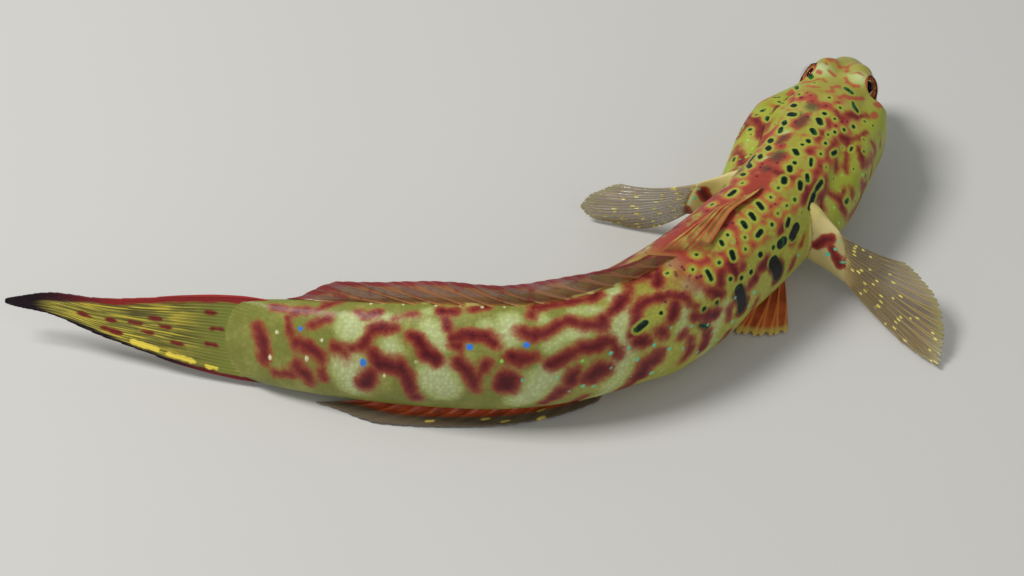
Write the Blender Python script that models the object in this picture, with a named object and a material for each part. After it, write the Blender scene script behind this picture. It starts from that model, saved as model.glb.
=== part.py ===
"""A life-size museum model of an Arabian shrimpgoby, resting on the sea floor with its body bent.

The fish is drawn straight and then bent. A station is a distance from the snout along the
backbone, side is a distance to the fish's right of it, and height is a distance over it. An
angle runs round the body from the back (0) over the right side (90) to the belly (180) and on
over the left side. Sizes are in millimetres, and make_object turns them into metres.
"""

import bmesh
import bpy
import numpy as np

MM = 0.001
GAP = 0.3  # kept between pieces that touch
STANDARD_LENGTH = 95.0  # from the snout to the tail fin's base
TAIL_FIN_LENGTH = 30.0
TOTAL_LENGTH = STANDARD_LENGTH + TAIL_FIN_LENGTH
HEAD_END = 24.0
TRUNK_MIDDLE = 45.0
TRUNK_END = 70.0
SNOUT_PLACE = (46.545, 26.19)  # sets the whole fish's middle over the origin

# Where the backbone points at each station, in degrees from +X towards +Y
HEADINGS = (
    (-3, 70), (0, 70), (12, 67), (24, 62), (35, 49.5), (46, 43), (55, 29), (64, 11.5), (72, -2), (82, -8),
    (95, -12.5), (TOTAL_LENGTH, -14),
)
# How far over the floor the backbone runs, and how far the back leans to the fish's left
AXIS_HEIGHTS = (
    (-3, 6.3), (0, 6.8), (4, 7.4), (9, 7.9), (16, 8.0), (28, 7.75), (40, 7.4), (47, 7.2), (60, 7.2),
    (72, 7.1), (84, 6.5), (95, 5.8), (TOTAL_LENGTH, 5.2),
)
LEANS = ((-3, 0), (40, 0), (58, 4), (72, 9), (84, 14), (95, 18), (TOTAL_LENGTH, 19))

# The body's half width, its rise over the backbone and its drop below it, without the gill covers
HALF_WIDTHS = (
    (0, 0), (0.25, 1.3), (0.8, 2.4), (1.8, 3.4), (3, 4.1), (5, 4.7), (7, 5.1), (11, 5.8), (15, 6.1),
    (24, 5.8), (40, 6.0), (49, 6.1), (58, 5.6), (66, 5.0), (72, 4.6), (80, 3.9), (88, 3.0), (95, 2.1),
)
RISES = (
    (0, 0), (0.25, 1.2), (0.8, 2.2), (1.8, 3.3), (3, 4.1), (5, 4.8), (7, 5.2), (11, 5.8), (15, 6.2),
    (24, 6.6), (46, 6.8), (60, 6.8), (72, 6.8), (80, 6.5), (88, 5.8), (95, 5.2),
)
DROPS = (
    (0, 0), (0.25, 1.1), (0.8, 1.9), (1.8, 2.7), (3, 3.4), (5, 4.2), (7, 4.8), (11, 5.5), (15, 5.9),
    (28, 6.3), (39, 6.3), (43.5, 7.5), (49.5, 7.6), (55.5, 6.3), (72, 6.2), (84, 5.8), (95, 5.2),
)
ROUNDNESS = 2.3  # 2 makes the body's sections ellipses, and more makes them squarer

# How far the cheeks and gill covers stand out, and the angles between which they do
COVER_BULGES = ((5, 0), (12, 1.7), (17, 2.4), (28, 2.1))
COVER_WINDOW = (38, 74, 122, 160)
COVER_ANGLES = (50, 150)
COVER_SEAT = 1.0  # how deep a gill cover is let into the head
COVER_EDGE = 27.5  # the station of the gill cover's hindmost point

EYE_RADIUS = 2.0
EYE_PLACE = (8.4, 2.75, 3.7)
EYE_GAZE = (-0.05, 0.87, 0.49)
ORBIT_WALL = 0.5
ORBIT_SINK = 0.75  # how far the dome round an eye is set back against its gaze, which leaves it open
NOSTRIL_ANGLE = 42
NOSTRIL_RADIUS = 0.38
NOSTRIL_BORE = 0.2
PORE_ANGLE = 36
PORE_RADIUS = 0.25
MOUTH_LENGTH = 8.5
MOUTH_HEIGHTS = ((-1, 0.6), (0, 0.6), (3, 0.2), (8.5, -1.6))
MOUTH_SLIT = 0.34
MOUTH_DEPTH = 1.5
LIP_RADIUS = 0.62

# The paddle of flesh that carries each pectoral fin, from inside the body to the fin
LOBE_STATION = 29.8
LOBE_HEIGHT = 0.2
LOBE_LENGTH = 3.5
LOBE_FLARE = 0.7  # how much further out its lower corner reaches than its middle
LOBE_HALF_HEIGHTS = (3.5, 3.4, 3.2, 3.0)
LOBE_HALF_THICKNESSES = (1.4, 1.2, 1.0, 0.8)
# How far each lobe runs back, and down, for each millimetre that it stands out
RIGHT_LOBE_SLANTS = (0.0, 0.58)
LEFT_LOBE_SLANTS = (0.75, 0.34)

# The pectoral fins' rays from the top one (0) to the lowest (1): how long they are, how far they
# turn back from straight out, and how high their ends are over the floor
RIGHT_RAY_LENGTHS = ((0, 7.2), (0.25, 10.9), (0.5, 13.8), (0.75, 14.7), (1, 8.6))
LEFT_RAY_LENGTHS = ((0, 9.7), (0.25, 12.6), (0.5, 13.9), (0.75, 11.3), (1, 6.0))
RIGHT_RAY_TURNS = ((0, -17), (0.25, -8), (0.5, 3), (0.75, 10), (1, 12))
LEFT_RAY_TURNS = ((0, 20), (0.25, 25), (0.5, 28), (0.75, 29), (1, 29))
RAY_END_LEVELS = ((0, 6.3), (0.25, 4.4), (0.5, 2.2), (0.75, 0.7), (1, 0.45))

SIDES = 32
FIN_THICKNESS = 0.5
RAY_THICKNESS = 0.8


def smooth(table, x):
    """A curve through a table's points, in cubic pieces that never overshoot them."""
    knots, values = np.array(table, float).T
    steps = np.diff(knots)
    slopes = np.diff(values) / steps
    tangents = np.zeros(len(knots))
    tangents[0], tangents[-1] = slopes[0], slopes[-1]
    for i in range(1, len(knots) - 1):
        if slopes[i - 1] * slopes[i] > 0:
            tangents[i] = 2 * slopes[i - 1] * slopes[i] / (slopes[i - 1] + slopes[i])
    x = np.clip(np.asarray(x, float), knots[0], knots[-1])
    i = np.clip(np.searchsorted(knots, x, side="right") - 1, 0, len(steps) - 1)
    t = (x - knots[i]) / steps[i]
    return (
        (1 + 2 * t) * (1 - t) ** 2 * values[i]
        + t * (1 - t) ** 2 * steps[i] * tangents[i]
        + t**2 * (3 - 2 * t) * values[i + 1]
        + t**2 * (t - 1) * steps[i] * tangents[i + 1]
    )


def ease(low, high, x):
    """0 below low, 1 above high, and a smooth rise between."""
    t = np.clip((np.asarray(x, float) - low) / (high - low), 0, 1)
    return t * t * (3 - 2 * t)


# The backbone's plan, worked out in short steps back from the snout
STEP = 0.25
STATIONS = np.arange(HEADINGS[0][0], TOTAL_LENGTH + STEP, STEP)
TURNS = np.radians(smooth(HEADINGS, STATIONS))
MIDDLES = (TURNS[1:] + TURNS[:-1]) / 2
PATH = np.zeros((len(STATIONS), 2))
PATH[1:] = -STEP * np.cumsum(np.stack([np.cos(MIDDLES), np.sin(MIDDLES)], -1), axis=0)
PATH += np.array(SNOUT_PLACE) - PATH[np.searchsorted(STATIONS, 0)]


def place(station, side, height):
    """Where a point of the straight fish lies once the fish is bent and leant over."""
    station, side, height = np.broadcast_arrays(*(np.asarray(v, float) for v in (station, side, height)))
    turn = np.radians(smooth(HEADINGS, station))
    lean = np.radians(smooth(LEANS, station))
    across = side * np.cos(lean) - height * np.sin(lean)
    x = np.interp(station, STATIONS, PATH[:, 0]) + across * np.sin(turn)
    y = np.interp(station, STATIONS, PATH[:, 1]) - across * np.cos(turn)
    z = smooth(AXIS_HEIGHTS, station) + side * np.sin(lean) + height * np.cos(lean)
    return np.stack([x, y, z], -1)


def cover_bulge(station, angle):
    """How far a cheek or gill cover stands out from the body's own section."""
    around = np.abs((np.asarray(angle, float) + 180) % 360 - 180)
    low, full, end, none = COVER_WINDOW
    return smooth(COVER_BULGES, station) * ease(low, full, around) * (1 - ease(end, none, around))


def skin_point(station, angle, out=0.0):
    """The point of the body's surface at a station and an angle, moved outwards by out."""
    a = np.radians(np.asarray(angle, float))
    power = 2 / ROUNDNESS
    across = np.sign(np.sin(a)) * np.abs(np.sin(a)) ** power
    upward = np.sign(np.cos(a)) * np.abs(np.cos(a)) ** power
    reach = np.where(upward > 0, smooth(RISES, station), smooth(DROPS, station))
    side = smooth(HALF_WIDTHS, station) * across + out * np.sin(a)
    point = place(station, side, reach * upward + out * np.cos(a))
    point[..., 2] = np.maximum(point[..., 2], 0)
    return point


def skin_side(station, height):
    """How far out the body's surface is at a height."""
    reach = np.where(height > 0, smooth(RISES, station), smooth(DROPS, station))
    share = np.clip(np.abs(height) / np.maximum(reach, 0.01), 0, 1)
    return smooth(HALF_WIDTHS, station) * (1 - share**ROUNDNESS) ** (1 / ROUNDNESS)


def make_object(name, points, faces):
    """A mesh object from points in millimetres."""
    mesh = bpy.data.meshes.new(name)
    mesh.from_pydata([tuple(MM * float(c) for c in p) for p in points], [], faces)
    made = bpy.data.objects.new(name, mesh)
    bpy.context.scene.collection.objects.link(made)
    return made


def paint(piece, colour, roughness=0.3):
    """Gives a piece its own plain material and shades it smooth away from its edges."""
    material = bpy.data.materials.new(piece.name)
    material.use_nodes = True
    shader = material.node_tree.nodes["Principled BSDF"]
    shader.inputs["Base Color"].default_value = (*colour, 1)
    shader.inputs["Roughness"].default_value = roughness
    shader.inputs["Metallic"].default_value = 0
    piece.data.materials.clear()
    piece.data.materials.append(material)
    piece.data.shade_smooth()
    piece.data.set_sharp_from_angle(angle=np.radians(40))


def loft(name, rings, tip=None):
    """A closed body through rings of equal count, with flat ends or a tip before the first ring."""
    rings = np.asarray(rings, float)
    count, around = rings.shape[:2]
    points = list(rings.reshape(-1, 3))
    faces = []
    for i in range(count - 1):
        for j in range(around):
            k = (j + 1) % around
            faces.append((i * around + j, (i + 1) * around + j, (i + 1) * around + k, i * around + k))
    faces.append(tuple((count - 1) * around + j for j in range(around))[::-1])
    if tip is None:
        faces.append(tuple(range(around)))
    else:
        points.append(np.asarray(tip, float))
        faces += [(count * around, j, (j + 1) % around) for j in range(around)]
    return face_out(make_object(name, points, faces))


def face_out(piece):
    """Turns a closed piece's faces outwards."""
    shape = bmesh.new()
    shape.from_mesh(piece.data)
    bmesh.ops.recalc_face_normals(shape, faces=shape.faces)
    shape.to_mesh(piece.data)
    shape.free()
    return piece


def combine(target, pieces, operation):
    """Fuses pieces into the target, or cuts them out of it, and keeps its largest closed surface."""
    group = bpy.data.collections.new("pieces")
    bpy.context.scene.collection.children.link(group)
    for piece in pieces:
        bpy.context.scene.collection.objects.unlink(piece)
        group.objects.link(piece)
    change = target.modifiers.new("combine", "BOOLEAN")
    change.operation = operation
    change.operand_type = "COLLECTION"
    change.collection = group
    change.solver = "EXACT"
    bpy.ops.object.select_all(action="DESELECT")
    bpy.context.view_layer.objects.active = target
    bpy.ops.object.modifier_apply(modifier=change.name)
    for piece in pieces:
        bpy.data.objects.remove(piece)
    bpy.data.collections.remove(group)
    keep_largest(target)


def keep_largest(piece):
    """Merges doubled points and keeps the connected surface with the most of them."""
    shape = bmesh.new()
    shape.from_mesh(piece.data)
    bmesh.ops.remove_doubles(shape, verts=shape.verts, dist=0.01 * MM)
    bmesh.ops.triangulate(shape, faces=shape.faces)
    bmesh.ops.dissolve_degenerate(shape, edges=shape.edges, dist=0.005 * MM)
    bmesh.ops.triangulate(shape, faces=shape.faces)
    unseen = set(shape.verts)
    islands = []
    while unseen:
        island = {unseen.pop()}
        front = set(island)
        while front:
            front = {e.other_vert(v) for v in front for e in v.link_edges} & unseen
            unseen -= front
            island |= front
        islands.append(island)
    largest = max(islands, key=len)
    bmesh.ops.delete(shape, geom=[v for v in shape.verts if v not in largest], context="VERTS")
    shape.to_mesh(piece.data)
    shape.free()


def tube(name, points, radius, sides=8):
    """A round rod along points of the bent fish."""
    points = np.asarray(points, float)
    along = np.gradient(points, axis=0)
    along /= np.linalg.norm(along, axis=1)[:, None]
    first = np.cross(along, (0.0, 0.0, 1.0))
    first /= np.linalg.norm(first, axis=1)[:, None]
    second = np.cross(along, first)
    turns = 2 * np.pi * np.arange(sides) / sides
    rings = points[:, None] + radius * (
        first[:, None] * np.cos(turns)[None, :, None] + second[:, None] * np.sin(turns)[None, :, None]
    )
    return loft(name, rings)


def ball(name, centre, radius, around=20, rows=12):
    shape = bmesh.new()
    bmesh.ops.create_uvsphere(shape, u_segments=around, v_segments=rows, radius=MM * radius)
    bmesh.ops.translate(shape, verts=shape.verts, vec=[MM * float(c) for c in centre])
    mesh = bpy.data.meshes.new(name)
    shape.to_mesh(mesh)
    shape.free()
    made = bpy.data.objects.new(name, mesh)
    bpy.context.scene.collection.objects.link(made)
    return made


def body_length(name, start, end, spacing, out=0.0):
    """A length of the trunk between two stations, with flat ends."""
    count = int(round((end - start) / spacing)) + 1
    stations = np.linspace(start, end, count)
    angles = 360 * np.arange(SIDES) / SIDES
    return loft(name, skin_point(stations[:, None], angles[None, :], out))


def gill_cover_outline(angle):
    """The first and last stations of a gill cover at an angle."""
    low, high = COVER_ANGLES
    off = np.abs(angle - (low + high) / 2) / ((high - low) / 2)
    return 13.0 + 1.2 * off**2, COVER_EDGE - 3.6 * off**2.4


def gill_cover(name, mirror, clearance=0.0):
    """A curved plate on the side of the head. Clearance makes the cutter for its seat."""
    low, high = COVER_ANGLES
    angles = np.linspace(low, high, 13)
    share = np.linspace(0, 1, 12)
    first, last = gill_cover_outline(angles)
    if clearance:
        spread = np.degrees(clearance / 6.5)
        angles = np.linspace(low - spread, high + spread, 13)
        first = first - clearance
        last = last + 4
    stations = first[:, None] + (last - first)[:, None] * share[None, :]
    turned = np.broadcast_to(angles[:, None], stations.shape)
    lifted = 0.0 if clearance else 1.5 * ease(21.5, 23.8, stations)
    inner = -COVER_SEAT - clearance + lifted
    outer = cover_bulge(stations, turned) + (2.0 if clearance else 0.0)
    outer = np.maximum(outer, inner + 0.5)
    back, front = (skin_point(stations, mirror * turned, out) for out in (inner, outer))
    return face_out(make_object(name, *slab(back, front)))


def slab(back, front):
    """A closed body between two grids of points, split into triangles alike on both."""
    rows, columns = front.shape[:2]
    points = np.concatenate([front.reshape(-1, 3), back.reshape(-1, 3)])
    under = rows * columns
    faces = []
    for i in range(rows - 1):
        for j in range(columns - 1):
            a, b = i * columns + j, (i + 1) * columns + j
            faces += [(a, b, b + 1), (a, b + 1, a + 1)]
            faces += [(under + a, under + b + 1, under + b), (under + a, under + a + 1, under + b + 1)]
    rim = [j for j in range(columns)]
    rim += [i * columns + columns - 1 for i in range(1, rows)]
    rim += [(rows - 1) * columns + j for j in range(columns - 2, -1, -1)]
    rim += [i * columns for i in range(rows - 2, 0, -1)]
    for a, b in zip(rim, rim[1:] + rim[:1]):
        faces += [(a, b, under + b), (a, under + b, under + a)]
    return points, faces


def fin(name, rays, rows, shape, root_thickness=RAY_THICKNESS, notch=0.04):
    """A webbed fin. Shape gives the straight fish's point at a share across the fin and along a ray."""
    columns = 2 * rays - 1
    across = np.linspace(0, 1, columns)[:, None]
    along = np.linspace(0, 1, rows)[None, :]
    is_web = (np.arange(columns) % 2 == 1)[:, None]
    along = along * np.where(is_web, 1 - notch, 1.0)
    across = np.broadcast_to(across, along.shape)

    def bent(u, v):
        return place(*shape(np.clip(u, 0, 1), v))

    tiny = 0.002
    middle = bent(across, along)
    u_edge = np.clip(across, tiny, 1 - tiny)
    over = bent(u_edge + tiny, along) - bent(u_edge - tiny, along)
    v_edge = np.clip(along, tiny, 1 - tiny)
    up = bent(across, v_edge + tiny) - bent(across, v_edge - tiny)
    normal = np.cross(over, up)
    normal /= np.linalg.norm(normal, axis=-1)[..., None]
    ray = RAY_THICKNESS + (root_thickness - RAY_THICKNESS) * (1 - ease(0, 0.35, along))
    ray = ray + (FIN_THICKNESS - ray) * ease(0.5, 1, along) * 0.8
    web = FIN_THICKNESS + (root_thickness - RAY_THICKNESS) * (1 - ease(0, 0.35, along))
    thickness = np.where(is_web, np.minimum(web, ray), ray)[..., None]
    front, back = middle + normal * thickness / 2, middle - normal * thickness / 2
    for face in (front, back):
        face[..., 2] = np.maximum(face[..., 2], 0)
    return face_out(make_object(name, *slab(back, front)))


def mouth_line():
    """Points round the snout along the mouth, and the outward direction at each."""
    rearward = np.array((0.45, 1.0, 1.8, 2.8, 4.0, 5.4, 7.0, MOUTH_LENGTH))
    side = skin_side(rearward, smooth(MOUTH_HEIGHTS, rearward)) + cover_bulge(rearward, 100)
    station = np.concatenate([rearward[::-1], [0.12], rearward])
    side = np.concatenate([-side[::-1], [0.0], side])
    points = place(station, side, smooth(MOUTH_HEIGHTS, station))
    along = np.gradient(points, axis=0)
    outward = np.cross(along, (0.0, 0.0, 1.0))
    outward /= np.linalg.norm(outward, axis=1)[:, None]
    front = len(station) // 2
    if outward[front] @ (points[front] - points[0]) < 0:
        outward = -outward
    return points, outward


def build_head():
    """The head with its orbits, lips and nostrils, cut for the eyes, mouth, pores and gill covers."""
    rows = (0.25, 0.8, 1.8, 3, 4.2, 5.4, 6.6, 7.8, 9, 10.2, 11.4, 12.6, 13.4, 14.6, 16, 17.5, 19, 20.5, 22)
    stations = np.array(rows + (HEAD_END - GAP / 2,))
    angles = 360 * np.arange(SIDES) / SIDES
    bulge = cover_bulge(stations[:, None], angles[None, :]) * (1 - ease(13, 14.5, stations))[:, None]
    rings = skin_point(stations[:, None], angles[None, :], bulge)
    head = loft("head", rings, tip=place(0, 0, 0))

    additions = []
    for mirror in (1, -1):
        station, side, height = np.array(EYE_PLACE) - ORBIT_SINK * np.array(EYE_GAZE)
        additions.append(ball("orbit", place(station, mirror * side, height), EYE_RADIUS + GAP + ORBIT_WALL))
        root = skin_point(2.6, mirror * NOSTRIL_ANGLE, -0.4)
        end = skin_point(2.1, mirror * NOSTRIL_ANGLE, 0.6)
        additions.append(tube("nostril", [root, end], NOSTRIL_RADIUS))
    line, outward = mouth_line()
    for rise in (0.94, -0.94):
        additions.append(tube("lip", line - 0.15 * outward + (0, 0, rise * LIP_RADIUS), LIP_RADIUS))
    combine(head, additions, "UNION")

    cuts = []
    for mirror in (1, -1):
        station, side, height = EYE_PLACE
        cuts.append(ball("socket", place(station, mirror * side, height), EYE_RADIUS + GAP))
        cuts.append(gill_cover("seat", mirror, clearance=GAP))
        for name, first, last, angle, radius in (
            ("bore", (2.6, 0.1), (2.0, 1.2), NOSTRIL_ANGLE, NOSTRIL_BORE),
            ("pore", (4.4, -0.6), (4.2, 0.8), PORE_ANGLE, PORE_RADIUS),
        ):
            line = [skin_point(at, mirror * angle, out) for at, out in (first, last)]
            cuts.append(tube(name, line, radius, 6))
    line, outward = mouth_line()
    level = np.array((0, 0, MOUTH_SLIT / 2))
    inner = line - MOUTH_DEPTH * outward
    blade = np.stack([line + outward + level, line + outward - level, inner - level, inner + level], axis=1)
    cuts.append(loft("mouth", blade))
    combine(head, cuts, "DIFFERENCE")
    paint(head, (0.30, 0.33, 0.06))


def build_eyes():
    for name, mirror in (("right", 1), ("left", -1)):
        station, side, height = EYE_PLACE
        eye = ball("eye_" + name, place(station, mirror * side, height), EYE_RADIUS)
        paint(eye, (0.45, 0.14, 0.04), 0.05)


def build_gill_covers():
    for name, mirror in (("right", 1), ("left", -1)):
        paint(gill_cover("gill_cover_" + name, mirror), (0.33, 0.38, 0.07))


def build_trunk():
    """The body behind the head, in three lengths with flat ends."""
    for name, start, end, colour in (
        ("trunk_front", HEAD_END, TRUNK_MIDDLE, (0.30, 0.30, 0.06)),
        ("trunk_rear", TRUNK_MIDDLE, TRUNK_END, (0.27, 0.27, 0.09)),
        ("tail_stem", TRUNK_END, STANDARD_LENGTH, (0.25, 0.27, 0.12)),
    ):
        paint(body_length(name, start + GAP / 2, end - GAP / 2, 1.5), colour)


def pectoral_frame(out, slants):
    """The station, side and height of the lobe's middle at a distance out from the body's side."""
    back, down = slants
    side = smooth(HALF_WIDTHS, LOBE_STATION) + out
    return LOBE_STATION + back * out, side, LOBE_HEIGHT - down * out


def build_pectoral_bases():
    """The lobes, cut to stand a gap off the trunk."""
    for name, mirror, slants in (("right", 1, RIGHT_LOBE_SLANTS), ("left", -1, LEFT_LOBE_SLANTS)):
        rings = []
        turns = 2 * np.pi * np.arange(14) / 14
        shares = np.linspace(-0.3, 1, len(LOBE_HALF_HEIGHTS))
        for share, tall, thick in zip(shares, LOBE_HALF_HEIGHTS, LOBE_HALF_THICKNESSES):
            station, side, level = pectoral_frame(share * LOBE_LENGTH, slants)
            side = side - max(share, 0) * LOBE_FLARE * np.sin(turns)
            rings.append(place(station + thick * np.cos(turns), mirror * side, level + tall * np.sin(turns)))
        lobe = loft("pectoral_base_" + name, rings)
        combine(lobe, [body_length("clear", HEAD_END - 4, 40, 1.6, out=GAP)], "DIFFERENCE")
        paint(lobe, (0.55, 0.50, 0.30))


def build_pectoral_fins():
    """Two fans that droop from the lobes to just over the floor."""
    for name, mirror, slants, lengths, turns in (
        ("right", 1, RIGHT_LOBE_SLANTS, RIGHT_RAY_LENGTHS, RIGHT_RAY_TURNS),
        ("left", -1, LEFT_LOBE_SLANTS, LEFT_RAY_LENGTHS, LEFT_RAY_TURNS),
    ):

        def shape(u, v):
            station, side, level = pectoral_frame(LOBE_LENGTH + GAP, slants)
            away = np.radians(smooth(turns, u))
            length = smooth(lengths, u) * v
            station = station + length * np.sin(away)
            side = side + LOBE_FLARE * (2 * u - 1) + length * np.cos(away)
            root = level + LOBE_HALF_HEIGHTS[-1] * (1 - 2 * u)
            end = smooth(RAY_END_LEVELS, u) - smooth(AXIS_HEIGHTS, station)
            return station, mirror * side, root + (end - root) * (1 - (1 - v) ** 1.6)

        paint(fin("pectoral_fin_" + name, 15, 7, shape), (0.25, 0.20, 0.10))


def build_pelvic_fin():
    """The two pelvic fins, grown together into one fan under the breast."""

    def shape(u, v):
        away = np.radians(-44 + 88 * u)
        length = v * (12.0 - 2.5 * (2 * u - 1) ** 2)
        station = 27.0 + length * np.cos(away)
        side = 2.2 * (2 * u - 1) + length * np.sin(away)
        level = 0.85 - 0.45 * ease(0, 0.4, v)
        return station, side, level - smooth(AXIS_HEIGHTS, station)

    paint(fin("pelvic_fin", 10, 6, shape), (0.50, 0.12, 0.05))


def build_dorsal_fins():
    """The first dorsal fin lies folded on the back, and the second stands low along the tail stem."""

    def first(u, v):
        station = 31.8 + 7.8 * u + (13.5 - 7.2 * u) * v
        side = (3.4 - 3.1 * u) * v**1.15 - 1.4 * ease(34, 47, station)
        share = np.abs(side) / smooth(HALF_WIDTHS, station)
        base = smooth(RISES, station) * (1 - share**ROUNDNESS) ** (1 / ROUNDNESS)
        return station, side, base + GAP + RAY_THICKNESS / 2 + 0.3 * np.sin(np.pi * v)

    paint(fin("dorsal_fin_first", 7, 9, first), (0.40, 0.16, 0.05))

    def second(u, v):
        tall = smooth(((0, 1.5), (0.15, 2.1), (0.8, 2.3), (1, 1.9)), u)
        station = 46.5 + 36.0 * u + (4.0 + 4.0 * u) * v
        base = smooth(RISES, station)
        return station, 0.35 * np.sin(18 * u) * v**1.5, base + GAP + tall * v

    paint(fin("dorsal_fin_second", 12, 5, second), (0.30, 0.17, 0.08))


def build_anal_fin():
    """A long fin that hangs from the belly and lies out to the right just over the floor."""

    def shape(u, v):
        station = 55.5 + 26.5 * u + (3.0 + 3.5 * u) * v
        lean = np.radians(smooth(LEANS, station))
        axis = smooth(AXIS_HEIGHTS, station)
        keel = -smooth(DROPS, station) - GAP - 0.3
        side_end = 3.3 - 0.8 * np.abs(2 * u - 1) ** 3
        # The level that puts a point of the leaning fish just over the floor
        laid = (0.3 - axis - side_end * v * np.sin(lean)) / np.cos(lean)
        return station, side_end * v, keel + (laid - keel) * ease(0, 0.5, v)

    paint(fin("anal_fin", 11, 5, shape), (0.50, 0.12, 0.05))


def build_tail_fin():
    """A long pointed fin that stands upright and carries on the tail stem's line."""
    half_heights = ((95, 5.0), (100, 4.7), (108, 3.3), (118, 1.5), (125, 0.25))

    def shape(u, v):
        start = STANDARD_LENGTH + GAP / 2
        middle = np.abs(2 * u - 1)
        length = TAIL_FIN_LENGTH * (1 - 0.72 * middle**2.2) - GAP / 2
        station = start + length * v
        side = 0.4 * np.sin(2.2 * v) * v
        across = 1 - 2 * u
        edge = smooth(half_heights, station)
        return station, side, across * edge

    paint(fin("caudal_fin", 15, 9, shape, root_thickness=2.2, notch=0.02), (0.30, 0.24, 0.05))


for item in list(bpy.data.objects):
    bpy.data.objects.remove(item)
build_head()
build_eyes()
build_gill_covers()
build_trunk()
build_pectoral_bases()
build_pectoral_fins()
build_pelvic_fin()
build_dorsal_fins()
build_anal_fin()
build_tail_fin()
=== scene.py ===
"""A life-size Arabian shrimpgoby, lying on its belly with its body bent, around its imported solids.

The fish is drawn straight and then bent. A station is a distance from the snout along the
backbone, side is a distance to the fish's right of it, and height is a distance over it. An
angle runs round the body from the back (0) over the right side (90) to the belly (180), and is
negative on the left side. Sizes are in millimetres until set_points makes them metres.
"""

import bpy
import numpy as np
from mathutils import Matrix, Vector


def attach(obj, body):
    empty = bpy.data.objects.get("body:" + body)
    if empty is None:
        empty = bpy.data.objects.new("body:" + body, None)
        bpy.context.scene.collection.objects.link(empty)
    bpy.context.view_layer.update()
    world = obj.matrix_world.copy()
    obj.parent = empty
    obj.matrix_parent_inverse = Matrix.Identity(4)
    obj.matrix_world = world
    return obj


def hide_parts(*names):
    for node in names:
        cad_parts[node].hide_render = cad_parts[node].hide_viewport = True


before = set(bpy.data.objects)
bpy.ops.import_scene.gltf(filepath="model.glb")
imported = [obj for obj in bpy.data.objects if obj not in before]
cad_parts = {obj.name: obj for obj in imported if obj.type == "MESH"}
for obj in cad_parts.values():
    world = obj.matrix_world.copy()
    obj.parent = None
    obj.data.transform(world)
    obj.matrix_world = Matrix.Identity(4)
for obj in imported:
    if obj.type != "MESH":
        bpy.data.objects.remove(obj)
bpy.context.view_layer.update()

# The skin. On the real fish it is one wet, scaly hide over the head, gill covers, trunk and
# tail stem. Here it is one closed surface through the body's sections, with the eyes' domes,
# lips and nostrils raised on it and the gill covers' free edges folded under.
MM = 0.001
STANDARD_LENGTH = 95.0
TOTAL_LENGTH = 125.0
SKIN_END = 98.6  # where the tail stem has thinned away between the tail fin's rays
# The backbone: where the snout is, and at each station its heading, its height and its lean
SNOUT_PLACE = (46.054, 26.358)
HEADINGS = (
    (-3, 74), (0, 74), (6, 72), (12, 67), (24, 62), (35, 49.5), (46, 43), (55, 29), (64, 11.5), (72, -2),
    (82, -8), (95, -12.5), (TOTAL_LENGTH, -14),
)
AXIS_HEIGHTS = (
    (-3, 6.3), (0, 6.8), (4, 7.4), (9, 7.9), (16, 8.0), (28, 7.75), (40, 7.4), (47, 7.2), (60, 7.2),
    (72, 7.1), (84, 6.5), (95, 5.8), (TOTAL_LENGTH, 5.2),
)
LEANS = ((-3, 0), (40, 0), (58, 4), (72, 9), (84, 14), (95, 18), (TOTAL_LENGTH, 19))
# The body's half width, and how far it goes over the backbone and under it
HALF_WIDTHS = (
    (0, 0), (0.25, 0.9), (0.8, 1.5), (1.8, 2.1), (3, 2.65), (5, 3.55), (7, 4.25), (9, 4.8), (11, 5.4),
    (13, 5.8), (15, 5.95), (24, 5.8), (40, 6.0), (49, 6.1), (58, 5.6), (66, 5.0), (72, 4.6), (80, 3.9),
    (88, 3.0), (94, 1.95), (96.5, 0.9), (98, 0.3), (SKIN_END, 0),
)
RISES = (
    (0, 0), (0.25, 1.2), (0.8, 2.2), (1.8, 3.3), (3, 4.1), (5, 4.8), (7, 5.2), (11, 5.8), (15, 6.2),
    (24, 6.6), (46, 6.8), (60, 6.8), (72, 6.8), (80, 6.5), (88, 5.8), (95, 5.1), (SKIN_END, 4.6),
)
DROPS = (
    (0, 0), (0.25, 1.1), (0.8, 1.9), (1.8, 2.7), (3, 3.4), (5, 4.2), (7, 4.8), (11, 5.5), (15, 5.9),
    (28, 6.3), (39, 6.3), (43.5, 7.5), (49.5, 7.6), (55.5, 6.3), (72, 6.2), (84, 5.8), (95, 5.1),
    (SKIN_END, 4.6),
)
ROUNDNESS = 2.3  # 2 would make the sections ellipses, and more makes them boxier
# How far the cheeks and gill covers stand out, and between which angles
RIGHT_COVER_BULGES = ((7.5, 0), (8.8, 0.35), (10.2, 1.5), (12, 1.5), (15, 1.35), (20, 1.6), (28, 2.1))
LEFT_COVER_BULGES = ((8, 0), (11, 0.8), (13, 1.5), (16, 2.5), (20, 2.7), (28, 2.1))
COVER_WINDOW = (38, 74, 122, 160)
COVER_WINDOW_BEHIND = (58, 94)  # the first two of those angles near the gill cover's edge
COVER_EDGE = 27.8
# The station of the gill cover's edge at angles round the body
COVER_EDGES = (
    (38, 24.8), (45, 25.8), (53, 27.0), (64, 28.1), (75, 28.5), (85, 28.3), (91, 27.5), (97, 25.6),
    (104, 23.6), (112, 22.0), (125, 20.8), (140, 20.0),
)
LEFT_COVER_EXTRA = 1.1  # how much further back the left gill cover's edge is than the right one's
SHOULDER = 0.1  # how much of the gill cover's bulge the body keeps behind it
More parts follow.
